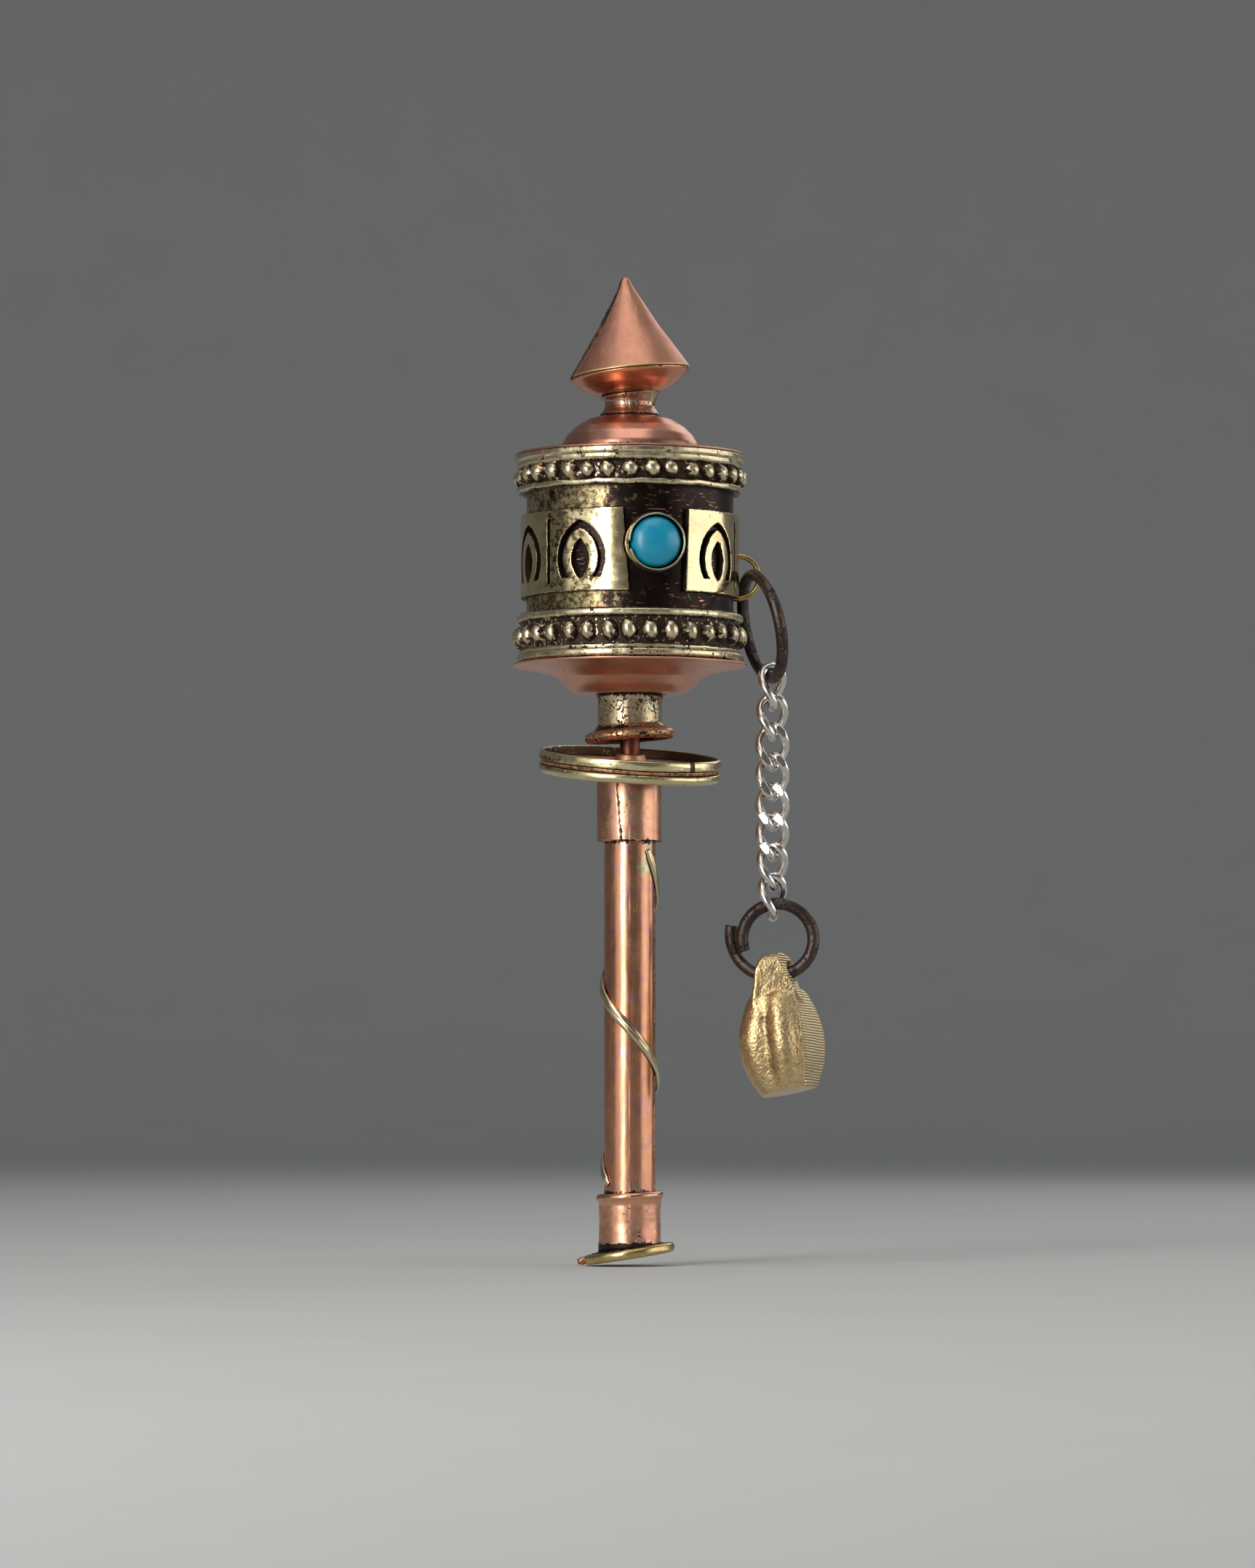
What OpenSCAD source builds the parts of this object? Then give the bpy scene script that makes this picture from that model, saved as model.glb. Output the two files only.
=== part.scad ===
// Small hand-held prayer wheel.
// A handle assembly (foot, wrapped copper tube, guard and spindle) carries a spinning drum.
// A ring, a curb chain, a second ring and a cast weight swing from an eye on the drum.
// Model +Z is up, millimetres, origin at the centre of the foot's lower face.

/* [Handle] */
// Radius of the brass foot disc
foot_r = 3.8; // [3.4:0.1:4.4]
// Thickness of the foot disc
foot_t = 0.8; // [0.6:0.1:1.2]
// Lean of the foot disc, lower on the left
foot_lean = 9; // [0:1:10]
// Outer radius of the copper handle tube
tube_r = 2.14; // [2.0:0.02:2.3]
// Wall of the handle tube
tube_wall = 0.3; // [0.2:0.05:0.5]
// Height of the ring-shaped lip on the bottom ferrule
bottom_lip_z = 5.15; // [4.6:0.05:5.4]
// Bottom ferrule outer radius
bottom_ferrule_r = 2.6; // [2.55:0.05:2.8]
// Top ferrule outer radius
top_ferrule_r = 2.74; // [2.7:0.02:3.0]
// Lower end of the top ferrule
top_ferrule_z = 34.55; // [33:0.05:36]
// Height gained by the wrapped strip in one turn
strip_pitch = 15.15; // [12:0.05:18]
// Width of the wrapped strip
strip_w = 0.87; // [0.5:0.01:1.1]
// Thickness of the wrapped strip
strip_t = 0.3; // [0.2:0.05:0.45]

/* [Guard] */
// Radius of the guard disc
guard_r = 7.57; // [7:0.01:8]
// Height of the guard's centre
guard_z = 40.95; // [40.8:0.05:41.2]
// Lean of the guard to the right
guard_lean = 3.7; // [0:0.1:5]
// Lean of the guard to the front
guard_nod = 7.5; // [0:0.5:8]

/* [Drum] */
// Radius of the drum wall
drum_r = 8.64; // [8.6:0.01:8.7]
// Thickness of the drum wall
drum_wall_t = 0.35; // [0.25:0.05:0.5]
// Outer radius of the pierced band
band_r = 9.12; // [9.0:0.01:9.2]
// Lower edge of the pierced band
band_low = 54.85; // [54.6:0.05:55]
// Upper edge of the pierced band
band_high = 61.7; // [61.6:0.05:62.2]
// Beads in each beaded band
bead_count = 33; // [24:1:34]
// Radius of one bead
bead_r = 0.6; // [0.4:0.01:0.6]
// Radial running clearance of the drum on its spindle
running_gap = 0.05; // [0.02:0.01:0.08]

/* [Stone] */
// Direction of the stone, measured round the drum from the front to the right
stone_turn = 13; // [10:1:15]
// Height of the stone's centre
stone_z = 58.8; // [58.6:0.05:59.3]
// Outer radius of the stone's bezel
bezel_r = 2.5; // [2.3:0.05:2.6]

/* [Finial] */
// Radius of the cone's rim
cone_r = 5.12; // [4.8:0.02:5.4]
// Height of the cone's tip
cone_top = 81.95; // [79:0.05:84]
// Lean of the bowl's rim, lower on the left
rim_lean = 6; // [0:0.5:7]
// Lean of the cone's own axis, to the left
tip_lean = 3.5; // [0:0.5:6]

/* [Tassel] */
// Wire radius of the upper ring
upper_wire_r = 0.5; // [0.4:0.01:0.5]
// Centreline radius of the upper ring
upper_ring_r = 4.36; // [4.3:0.01:4.36]
// Wire radius of the chain
chain_wire_r = 0.35; // [0.28:0.01:0.35]
// Half height of a chain link, to the middle of its wire
link_b = 1.74; // [1.72:0.01:1.76]
// Half width of a chain link, to the middle of its wire
link_a = 1.12; // [1.1:0.01:1.14]
// How far each end of a link is turned round the link's length, in degrees
link_twist = 55; // [53:1:57]
// Wire radius of the lower ring
lower_wire_r = 0.52; // [0.44:0.01:0.52]
// Width of the cast weight
weight_w = 7.7; // [6.8:0.1:8]

/* [Hidden] */
$fn = 48;
EPS = 0.01;
FIT = 0.02;
BIG = 40;
SPINDLE_R = 0.85;
SPINDLE_LOW = 22;
SPINDLE_TOP = 72.45;
STOP_R = 1.35;
STOP_T = 0.5;
TUBE_LOW = 1.6;
TUBE_TOP = 38.6;
FERRULE_TOP = 42;
PLATE_LOW = -0.2;
PLATE_HIGH = 0.15;
HUB_R = 1.6;
WASHER_TOP = 44.0;
SLEEVE_R = SPINDLE_R + running_gap + 0.4;
SLEEVE_LOW = 44.05;
SLEEVE_TOP = 71.9;
STRIP_START = 34.05;
STRIP_END = 5.95;
STRIP_LAST = 360 * (STRIP_START - STRIP_END) / strip_pitch;
STRIP_FIRST = 40;
STRIP_EASES = 90;
EYE_X = 8.974;
EYE_Z = 56.65;
EYE_R = 1.79;
EYE_WIRE = 0.21;
EYE_IN = 7.95;
WALL_LOW = 49.66;
WALL_TOP = 66.7;
LOW_BAND_Z = 49.66;
HIGH_BAND_Z = 63.6;
BEAD_MID = 9.28;
ARCH_R = 3.28;
ARCH_SIDE = 1.08;
ARCH_W = 0.55;
ARCH_Y = -0.65;
ARCH_FOOT = -1.6;
LEAF_R = 2.1;
LEAF_SIDE = 1.3;
LEAF_Y = -0.75;
RIM_Z = 66.95;
DOME_TOP = 70.15;
NECK_Z = 71.15;
BOWL_LOW = 71.75;
BOWL_RIM = 73.75;
RING_AXIS = [0.932, 0.298, 0.208];
RING_MID = [11.04, -0.46, 52.52];
CHAIN_X = 11.87;
CHAIN_Y = -0.1;
CHAIN_TOP = 47.5;
CHAIN_PITCH = 2.5;
LINK_TURNS = [52, 32, 12, 12, 12, 20, 34, 50];
LOW_RING = [12.3, -0.1, 26.45];
LOW_RING_R = 2.96;
LUG = [12.08, -0.1, 23.35];
LUG_HOLE_R = 0.92;
WEIGHT_LEAN = -6.5;
WEIGHT_STEPS = 20;
WEIGHT_SIDES = 72;

// Piece to draw

COPPER = [0.72, 0.42, 0.32];
BRASS = [0.78, 0.68, 0.42];
WHITE_BRASS = [0.72, 0.68, 0.56];
IRON = [0.25, 0.21, 0.19];
SILVER = [0.8, 0.8, 0.82];

// A closed ring of material turned about Z from a list of radius and height points.
module turned(points) {
    rotate_extrude() polygon(points);
}

module tube(outer, inner, low, high) {
    difference() {
        translate([0, 0, low]) cylinder(r = outer, h = high - low);
        translate([0, 0, low - 1]) cylinder(r = inner, h = high - low + 2);
    }
}

// A block that fills everything above a plane, leaned with the foot.
module above_foot(z) {
    rotate([0, -foot_lean, 0]) translate([-BIG / 2, -BIG / 2, z]) cube(BIG);
}

module foot_flange() {
    color(BRASS)
    rotate([0, -foot_lean, 0])
    union() {
        turned([[0, 0], [foot_r - 0.15, 0], [foot_r, 0.2], [foot_r, foot_t - 0.2],
            [foot_r - 0.15, foot_t], [0, foot_t]]);
        translate([-foot_r - 0.25, 0.1, foot_t / 2]) sphere(r = 0.34);
    }
}

module bottom_ferrule() {
    color(COPPER)
    difference() {
        intersection() {
            union() {
                tube(bottom_ferrule_r, tube_r + FIT, 0, bottom_lip_z + 0.2);
                translate([0, 0, bottom_lip_z]) rotate([0, -3, 0]) rotate_extrude()
                    translate([bottom_ferrule_r - 0.12, 0]) circle(r = 0.3);
            }
            above_foot(foot_t);
        }
        translate([0, 0, -1]) cylinder(r = tube_r + FIT, h = 12);
    }
}

module handle_tube() {
    color(COPPER)
    intersection() {
        tube(tube_r, tube_r - tube_wall, 0, TUBE_TOP);
        above_foot(foot_t);
    }
}

module handle_core() {
    color([0.5, 0.36, 0.22])
    difference() {
        intersection() {
            cylinder(r = tube_r - tube_wall - FIT, h = TUBE_TOP);
            above_foot(foot_t);
        }
        translate([0, 0, SPINDLE_LOW]) cylinder(r = SPINDLE_R + FIT, h = BIG);
    }
}

// A strip with a raised middle, wound down the tube from under the top ferrule to the bottom one.
// It leaves the ferrule steeply, then settles to an even pitch.
STRIP_STEPS = 108;
STRIP_SIDE = [[0, -0.5], [0.62, -0.36], [1, 0], [0.62, 0.36], [0, 0.5]];
function strip_point(k, side) =
    let(turn = STRIP_FIRST + (STRIP_LAST - STRIP_FIRST) * k / STRIP_STEPS)
    let(out = tube_r + FIT + strip_t * side[0])
    let(steep = max(0, STRIP_EASES - turn) / (STRIP_EASES - STRIP_FIRST))
    let(z = STRIP_START - strip_pitch * (turn - STRIP_FIRST * steep) / 360)
    [out * sin(turn), -out * cos(turn), z + strip_w * side[1]];

module spiral_strip() {
    n = len(STRIP_SIDE);
    points = [for (k = [0:STRIP_STEPS]) for (s = STRIP_SIDE) strip_point(k, s)];
    sides = [for (k = [0:STRIP_STEPS - 1]) for (i = [0:n - 1])
        let(j = (i + 1) % n) [k * n + i, k * n + j, (k + 1) * n + j, (k + 1) * n + i]];
    first = [for (i = [n - 1:-1:0]) i];
    last = [for (i = [0:n - 1]) STRIP_STEPS * n + i];
    color(WHITE_BRASS) polyhedron(points, concat(sides, [first, last]), convexity = 10);
}

// Leans anything drawn about the guard's own centre.
module on_guard() {
    translate([0, 0, guard_z]) rotate([guard_nod, guard_lean, 0]) children();
}

module top_ferrule() {
    color(COPPER)
    difference() {
        union() {
            translate([0, 0, top_ferrule_z]) cylinder(r = top_ferrule_r - 0.12, h = FERRULE_TOP - top_ferrule_z);
            intersection() {
                translate([0, 0, top_ferrule_z]) cylinder(r = top_ferrule_r, h = FERRULE_TOP - top_ferrule_z);
                rotate([0, 0, -108]) translate([-BIG, 0, top_ferrule_z]) cube([BIG, BIG, BIG]);
            }
        }
        translate([0, 0, top_ferrule_z - 1]) cylinder(r = tube_r + FIT, h = TUBE_TOP + FIT - top_ferrule_z + 1);
        cylinder(r = SPINDLE_R + FIT, h = 2 * BIG);
        on_guard() translate([-BIG / 2, -BIG / 2, PLATE_LOW]) cube(BIG);
    }
}

// The plate rises to a small hub round the spindle.
module guard_plate() {
    color(COPPER)
    difference() {
        on_guard() turned([[0, PLATE_LOW], [guard_r - 0.12, PLATE_LOW], [guard_r - 0.12, PLATE_HIGH],
            [HUB_R, PLATE_HIGH], [HUB_R - 0.5, PLATE_HIGH + 0.9], [0, PLATE_HIGH + 0.9]]);
        translate([0, 0, guard_z - 3]) cylinder(r = SPINDLE_R + FIT, h = 6);
    }
}

module guard_upper_rim() {
    color(WHITE_BRASS)
    on_guard() rotate([0, 0, -46]) rotate_extrude(angle = 358.5)
        polygon([[guard_r - 0.42, PLATE_HIGH], [guard_r, PLATE_HIGH], [guard_r + 0.02, 0.6],
            [guard_r - 0.08, 1.0], [guard_r - 0.3, 1.0], [guard_r - 0.42, 0.85]]);
}

module guard_lower_rim() {
    color(BRASS)
    on_guard() turned([[guard_r - 0.75, PLATE_LOW], [guard_r - 0.1, PLATE_LOW], [guard_r, -0.4],
        [guard_r + 0.02, -0.62], [guard_r - 0.08, -0.88], [guard_r - 0.3, -1.0],
        [guard_r - 0.55, -0.95], [guard_r - 0.75, -0.7]]);
}

module spindle() {
    color([0.45, 0.3, 0.24])
    translate([0, 0, SPINDLE_LOW]) cylinder(r = SPINDLE_R, h = SPINDLE_TOP - SPINDLE_LOW);
}

module thrust_washer() {
    color(BRASS) tube(1.7, SPINDLE_R + FIT, WASHER_TOP - 0.5, WASHER_TOP);
}

module spindle_stop() {
    color(BRASS) tube(STOP_R, SPINDLE_R + FIT, SLEEVE_TOP + 0.05, SLEEVE_TOP + 0.05 + STOP_T);
}

module bearing_sleeve() {
    color(BRASS) tube(SLEEVE_R, SPINDLE_R + running_gap, SLEEVE_LOW, SLEEVE_TOP);
}

module bottom_collar() {
    lip_z = 43.45;
    color(COPPER)
    difference() {
        union() {
            turned([[2.1, lip_z + 0.3], [2.69, lip_z + 0.3], [2.69, 46.4], [2.8, 46.84], [2.1, 46.84]]);
            translate([0, 0, lip_z]) rotate([0, -4, 0])
                turned([[2.0, -0.35], [3.3, -0.5], [3.65, -0.42], [3.77, -0.1], [3.72, 0.25], [3.45, 0.42],
                    [3.0, 0.5], [2.5, 0.9], [2.0, 0.9]]);
        }
        translate([0, 0, 40]) cylinder(r = 2.27, h = 10);
    }
}

module bottom_plate() {
    color(COPPER)
    turned([[SLEEVE_R + FIT, 46.85], [4.2, 46.85], [4.75, 47.0], [5.3, 47.45], [6.0, 48.2], [6.7, 48.6],
        [8.4, 48.95], [9.75, 49.2], [9.8, 49.3], [9.7, 49.39], [8.2, 49.39], [8.2, 49.25], [6.6, 48.95],
        [5.75, 48.55], [5.1, 47.8], [4.6, 47.35], [4.1, 47.2], [SLEEVE_R + FIT, 47.2]]);
}

// Holes for the two legs of the eye.
module eye_holes() {
    for (s = [-1, 1])
        translate([EYE_IN - EPS, 0, EYE_Z + s * EYE_R]) rotate([0, 90, 0]) cylinder(r = EYE_WIRE + FIT, h = 3);
}

module drum_wall() {
    color([0.2, 0.16, 0.13])
    difference() {
        tube(drum_r, drum_r - drum_wall_t, 49.4, WALL_TOP);
        eye_holes();
    }
}

module prayer_scroll() {
    color([0.88, 0.83, 0.7])
    tube(7.6, SLEEVE_R + 0.05, 49.6, 66.4);
}

module beads(r, z) {
    for (k = [0:bead_count - 1])
        rotate([0, 0, 360 * k / bead_count]) translate([r, 0, z]) sphere(r = bead_r, $fn = 16);
}

module lower_bead_band() {
    z = LOW_BAND_Z;
    inner = drum_r + FIT;
    color(WHITE_BRASS)
    union() {
        turned([[inner, 49.44], [9.3, 49.5], [9.44, 49.85], [9.4, 50.2], [9.12, 50.45], [9.1, z + 2.55],
            [9.22, z + 2.75], [9.4, z + 3.15], [9.4, z + 3.5], [9.15, z + 3.8], [inner, z + 3.85]]);
        beads(BEAD_MID, z + 1.95);
    }
}

module upper_bead_band() {
    z = HIGH_BAND_Z;
    inner = drum_r + FIT;
    color(WHITE_BRASS)
    union() {
        turned([[inner, z], [9.2, z + 0.05], [9.45, z + 0.3], [9.42, z + 0.55], [9.14, z + 0.75],
            [9.12, z + 1.95], [9.25, z + 2.25], [9.5, z + 2.5], [9.67, z + 3.0], [9.6, z + 3.1], [inner, z + 3.1]]);
        beads(BEAD_MID, z + 1.27);
    }
}

// Anything drawn flat in the page is turned to face outward through the band at one angle.
module through_band(turn, z) {
    rotate([0, 0, turn - 90]) translate([8, 0, z]) rotate([90, 0, 90]) linear_extrude(3) children();
}

// A pointed leaf: where two circles overlap, each one drawn the same way off the middle.
module leaf(side, r) {
    intersection() {
        translate([side, 0]) circle(r = r);
        translate([-side, 0]) circle(r = r);
    }
}

// One repeat of the pierced pattern: a pointed arch, open at its foot, round a small leaf.
module petal(turn) {
    through_band(turn, (band_low + band_high) / 2) {
        translate([0, ARCH_Y]) difference() {
            leaf(ARCH_SIDE, ARCH_R);
            leaf(ARCH_SIDE, ARCH_R - ARCH_W);
            translate([-5, -10 + ARCH_FOOT]) square(10);
        }
        translate([0, LEAF_Y]) leaf(LEAF_SIDE, LEAF_R);
    }
}

module bar(turn) {
    through_band(turn, (band_low + band_high) / 2) translate([-0.15, -2.7]) square([0.3, 5.4]);
}

module pierced_band() {
    color(BRASS)
    difference() {
        rotate([0, 0, -90 + 31]) rotate_extrude(angle = 327)
            polygon([[drum_r + FIT, band_low], [band_r, band_low], [band_r, band_high], [drum_r + FIT, band_high]]);
        for (turn = [53, 132, 172, 212, 252, 292, 333]) petal(turn);
        for (turn = [73, 109, 152, 192, 232, 272, 312.5]) bar(turn);
        eye_holes();
        rotate([0, 0, stone_turn - 90]) translate([7, 0, stone_z]) rotate([0, 90, 0])
            cylinder(r = bezel_r + FIT, h = 4);
    }
}

module on_stone() {
    rotate([0, 0, stone_turn - 90]) translate([0, 0, stone_z]) rotate([0, 90, 0]) children();
}

module bezel() {
    color(WHITE_BRASS)
    difference() {
        on_stone() translate([0, 0, 8]) cylinder(r = bezel_r, h = 1.95);
        on_stone() translate([0, 0, 9.0]) cylinder(r = bezel_r - 0.2, h = 4);
        cylinder(r = drum_r + FIT, h = 2 * BIG);
    }
}

module turquoise_stone() {
    stone_r = bezel_r - 0.38;
    color([0.12, 0.55, 0.66])
    on_stone()
    intersection() {
        translate([0, 0, 9.0]) cylinder(r = stone_r, h = 3);
        translate([0, 0, 10.5 - 2.7]) sphere(r = 2.7);
    }
}

module eye_loop() {
    color(BRASS)
    translate([EYE_X, 0, EYE_Z])
    union() {
        rotate([90, 0, 0]) rotate([0, 0, -90]) rotate_extrude(angle = 180) translate([EYE_R, 0]) circle(r = EYE_WIRE);
        for (s = [-1, 1])
            translate([EYE_IN - EYE_X, 0, s * EYE_R]) rotate([0, 90, 0])
                cylinder(r = EYE_WIRE, h = EYE_X - EYE_IN);
    }
}

module top_dome() {
    color(COPPER)
    turned([[SLEEVE_R + FIT, DOME_TOP - 0.3], [2.3, DOME_TOP - 0.32], [3.4, 69.4], [4.4, 68.75], [5.2, 67.85],
        [5.55, 66.95], [9.35, 66.72], [9.62, 66.74], [9.66, 66.86], [9.55, RIM_Z], [5.88, 67.12],
        [5.7, 67.75], [5.3, 68.5], [4.6, 69.2], [3.6, 69.85], [2.6, DOME_TOP], [SLEEVE_R + FIT, DOME_TOP]]);
}

module on_rim() {
    translate([0, 0, BOWL_RIM]) rotate([0, -rim_lean, 0]) translate([0, 0, -BOWL_RIM]) children();
}

// The neck runs up to the leaned underside of the bowl.
module finial_neck() {
    color(COPPER)
    difference() {
        turned([[SLEEVE_R + FIT, DOME_TOP + EPS], [2.5, DOME_TOP + EPS], [2.42, 70.45], [2.12, 70.8],
            [2.08, NECK_Z], [2.12, 71.45], [2.24, BOWL_LOW], [2.3, 73], [SLEEVE_R + FIT, 73]]);
        on_rim() turned([[0, 71.9], [1.9, 71.9], [2.35, 71.95], [3.2, 72.25], [3.2, 76], [0, 76]]);
        translate([0, 0, BOWL_LOW]) cylinder(r = 1.85, h = 4);
    }
}

module finial_bowl() {
    color(COPPER)
    difference() {
        on_rim() turned([[1.9, 71.9], [2.35, 71.95], [3.2, 72.25], [4.2, 72.85], [5.0, 73.6], [5.02, BOWL_RIM],
            [4.72, BOWL_RIM], [4.1, 73.15], [3.1, 72.55], [2.2, 72.25], [1.9, 72.2]]);
        cylinder(r = 1.85, h = 2 * BIG);
    }
}

// The cone leans less than the rim it stands on, so its foot is cut to the rim's slope.
module finial_cone() {
    color(COPPER)
    difference() {
        translate([0.06, 0, BOWL_RIM]) rotate([0, -tip_lean, 0]) translate([0, 0, -BOWL_RIM])
            turned([[4.9, 73.2], [cone_r + 0.38, 73.2], [2.9, 77.3], [1.35, cone_top - 2.0],
                [0.62, cone_top - 0.75], [0.45, cone_top - 0.38], [0.25, cone_top - 0.1], [0, cone_top],
                [0, cone_top - 1.1], [2.5, 77.3], [4.55, 74.1]]);
        on_rim() translate([-BIG / 2, -BIG / 2, BOWL_RIM + EPS - BIG]) cube(BIG);
    }
}

// Draws a torus whose axis is a given direction.
module upper_ring() {
    color(IRON)
    translate(RING_MID)
    rotate(a = acos(RING_AXIS[2]), v = cross([0, 0, 1], RING_AXIS))
    rotate_extrude() translate([upper_ring_r, 0]) circle(r = upper_wire_r);
}

// A closed wire along a list of points, with its middle at the origin and its plane near XZ.
function unit(v) = v / norm(v);
LINK_STEPS = 40;
LINK_SIDES = 10;
function link_mid(t) = let(turned = link_twist * sin(t), out = link_a * cos(t))
    [out * cos(turned), -out * sin(turned), link_b * sin(t)];
function link_way(t) = unit(link_mid(t + 0.5) - link_mid(t - 0.5));
function link_out(t) = let(r = unit([link_mid(t)[0], 0, link_mid(t)[2]]), w = link_way(t)) unit(r - (r * w) * w);
function link_point(t, s) = link_mid(t) + chain_wire_r * (cos(s) * link_out(t) + sin(s) * cross(link_way(t), link_out(t)));

module link_shape() {
    points = [for (k = [0:LINK_STEPS - 1]) for (i = [0:LINK_SIDES - 1])
        link_point(360 * k / LINK_STEPS, 360 * i / LINK_SIDES)];
    faces = [for (k = [0:LINK_STEPS - 1]) for (i = [0:LINK_SIDES - 1])
        let(j = (i + 1) % LINK_SIDES, m = (k + 1) % LINK_STEPS)
        [k * LINK_SIDES + i, m * LINK_SIDES + i, m * LINK_SIDES + j, k * LINK_SIDES + j]];
    polyhedron(points, faces, convexity = 8);
}

module chain_link(n) {
    color(SILVER)
    translate([CHAIN_X, CHAIN_Y, CHAIN_TOP - CHAIN_PITCH * (n - 1)])
    rotate([0, 0, LINK_TURNS[n - 1]]) link_shape();
}

// The lower ring is open: its outer end laps past and behind the inner one on the left.
RING_STEPS = 90;
RING_SIDES = 12;
function lap_radius(a) = LOW_RING_R + 1.04 * pow(max(0, -95 - a) / 102, 0.78);
function lap_back(a) = 0.9 * min(1, max(0, (-118 - a) / 40));
function lap_mid(k) = let(a = 200 - 397 * k / RING_STEPS) [lap_radius(a) * cos(a), lap_back(a), lap_radius(a) * sin(a)];
function lap_way(k) = unit(lap_mid(k + 0.5) - lap_mid(k - 0.5));
function lap_side(k) = unit(cross([0, 1, 0], lap_way(k)));
function lap_point(k, s) = lap_mid(k)
    + lower_wire_r * (cos(s) * lap_side(k) + sin(s) * cross(lap_way(k), lap_side(k)));

module lower_ring() {
    n = RING_SIDES;
    points = [for (k = [0:RING_STEPS]) for (i = [0:n - 1]) lap_point(k, 360 * i / n)];
    sides = [for (k = [0:RING_STEPS - 1]) for (i = [0:n - 1])
        let(j = (i + 1) % n) [k * n + i, (k + 1) * n + i, (k + 1) * n + j, k * n + j]];
    first = [for (i = [0:n - 1]) i];
    last = [for (i = [n - 1:-1:0]) RING_STEPS * n + i];
    color(IRON) translate(LOW_RING) polyhedron(points, concat(sides, [first, last]), convexity = 10);
}

// The cast weight: a lobed bulb under a drilled lug, dressed flat on its right front and underside.
// Half width of the bulb at heights below the drilled hole.
BULB_OUTLINE = [[-10.6, 1.7], [-9.1, 2.65], [-8.2, 3.1], [-7.2, 3.42], [-6, 3.62], [-4.8, 3.62], [-3.9, 3.42],
    [-2.8, 3.0], [-1.55, 2.4], [-0.95, 1.9]];
// How far out the dressed face lies, at the same heights.
DRESSED = [[-10.6, 1.8], [-9, 2.3], [-8, 2.55], [-7, 2.75], [-6, 2.83], [-5, 2.82], [-4, 2.72], [-3, 2.55],
    [-2, 2.25], [-0.9, 1.85]];
// Share of the outline kept, by direction from the front towards the right.
LOBES = [[-180, 0.97], [-150, 0.9], [-120, 1], [-92, 0.93], [-72, 1], [-45, 1], [-27, 0.885], [-12, 0.985],
    [-3, 1], [8, 0.985], [18, 0.945], [40, 0.95], [90, 0.96], [120, 0.9], [150, 1], [180, 0.97]];
DRESSED_TURN = 60;
BULB_HIGH = -0.95;
BULB_LOW = -10.6;
function lobe(front, t) = 1 + (lookup(front, LOBES) - 1) * pow(sin(180 * pow(t, 0.8)), 0.6);
function bulb_point(k, i) =
    let(t = k / WEIGHT_STEPS, z = BULB_HIGH + (BULB_LOW - BULB_HIGH) * t)
    let(front = 360 * i / WEIGHT_SIDES - 180, wide = lookup(z, BULB_OUTLINE) * weight_w / 7.24)
    let(x = wide * sin(front), y = -0.85 * wide * cos(front), r = norm([x, y]) * lobe(front, t))
    let(turn = atan2(x, -y), face = cos(turn - DRESSED_TURN))
    let(kept = face > 0.1 ? min(r, lookup(z, DRESSED) / face) : r)
    [kept * sin(turn), -kept * cos(turn), z];

module bulb() {
    n = WEIGHT_SIDES;
    points = [for (k = [0:WEIGHT_STEPS]) for (i = [0:n - 1]) bulb_point(k, i)];
    sides = [for (k = [0:WEIGHT_STEPS - 1]) for (i = [0:n - 1])
        let(j = (i + 1) % n) [k * n + i, k * n + j, (k + 1) * n + j, (k + 1) * n + i]];
    first = [for (i = [n - 1:-1:0]) i];
    last = [for (i = [0:n - 1]) WEIGHT_STEPS * n + i];
    polyhedron(points, concat(sides, [first, last]), convexity = 6);
}

module lug() {
    intersection() {
        rotate([90, 0, 0]) linear_extrude(3.4, center = true)
            polygon([[-0.75, 1.95], [0.75, 1.95], [1.3, 1.5], [1.62, 1.0], [1.75, 0.1], [1.8, -0.8], [1.95, -1.5],
                [2.0, -2.4], [-2.3, -2.4], [-2.2, -1.5], [-1.95, -0.7], [-1.8, 0.2], [-1.62, 0.9], [-1.25, 1.5]]);
        rotate([90, 0, 90]) linear_extrude(5, center = true)
            polygon([[-0.8, 1.95], [0.8, 1.95], [1.3, 1.4], [1.5, 0.6], [1.5, -0.6], [1.7, -2.4],
                [-1.7, -2.4], [-1.5, -0.6], [-1.5, 0.6], [-1.3, 1.4]]);
    }
}

module weight() {
    color([0.72, 0.58, 0.32])
    translate(LUG)
    difference() {
        rotate([0, WEIGHT_LEAN, 0])
        difference() {
            union() {
                bulb();
                lug();
            }
            rotate([0, 0, -30]) translate([0.75, 0, 2]) rotate([0, -22.6, 0])
                translate([0, -BIG / 2, -BIG / 2]) cube(BIG);
            translate([0, 0, -9.65]) rotate([-7, -4.4, 0]) translate([-BIG / 2, -BIG / 2, -BIG]) cube(BIG);
        }
        translate([-1.1, 0, 0]) rotate([0, 90, 0]) cylinder(r = LUG_HOLE_R, h = 2.2);
        // The drilled hole is opened out at both ends to follow the ring.
        translate(LOW_RING - LUG) rotate([90, 0, 0]) rotate([0, 0, -150]) rotate_extrude(angle = 120)
            translate([LOW_RING_R + 0.09, 0]) circle(r = 0.95, $fn = 32);
    }
}

foot_flange();
bottom_ferrule();
handle_tube();
handle_core();
spiral_strip();
top_ferrule();
guard_plate();
guard_upper_rim();
guard_lower_rim();
spindle();
thrust_washer();
spindle_stop();
bearing_sleeve();
bottom_collar();
bottom_plate();
drum_wall();
prayer_scroll();
lower_bead_band();
upper_bead_band();
pierced_band();
bezel();
turquoise_stone();
eye_loop();
top_dome();
finial_neck();
finial_bowl();
finial_cone();
upper_ring();
chain_link(1);  // link_1
chain_link(2);  // link_2
chain_link(3);  // link_3
chain_link(4);  // link_4
chain_link(5);  // link_5
chain_link(6);  // link_6
chain_link(7);  // link_7
chain_link(8);  // link_8
lower_ring();
weight();
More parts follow.
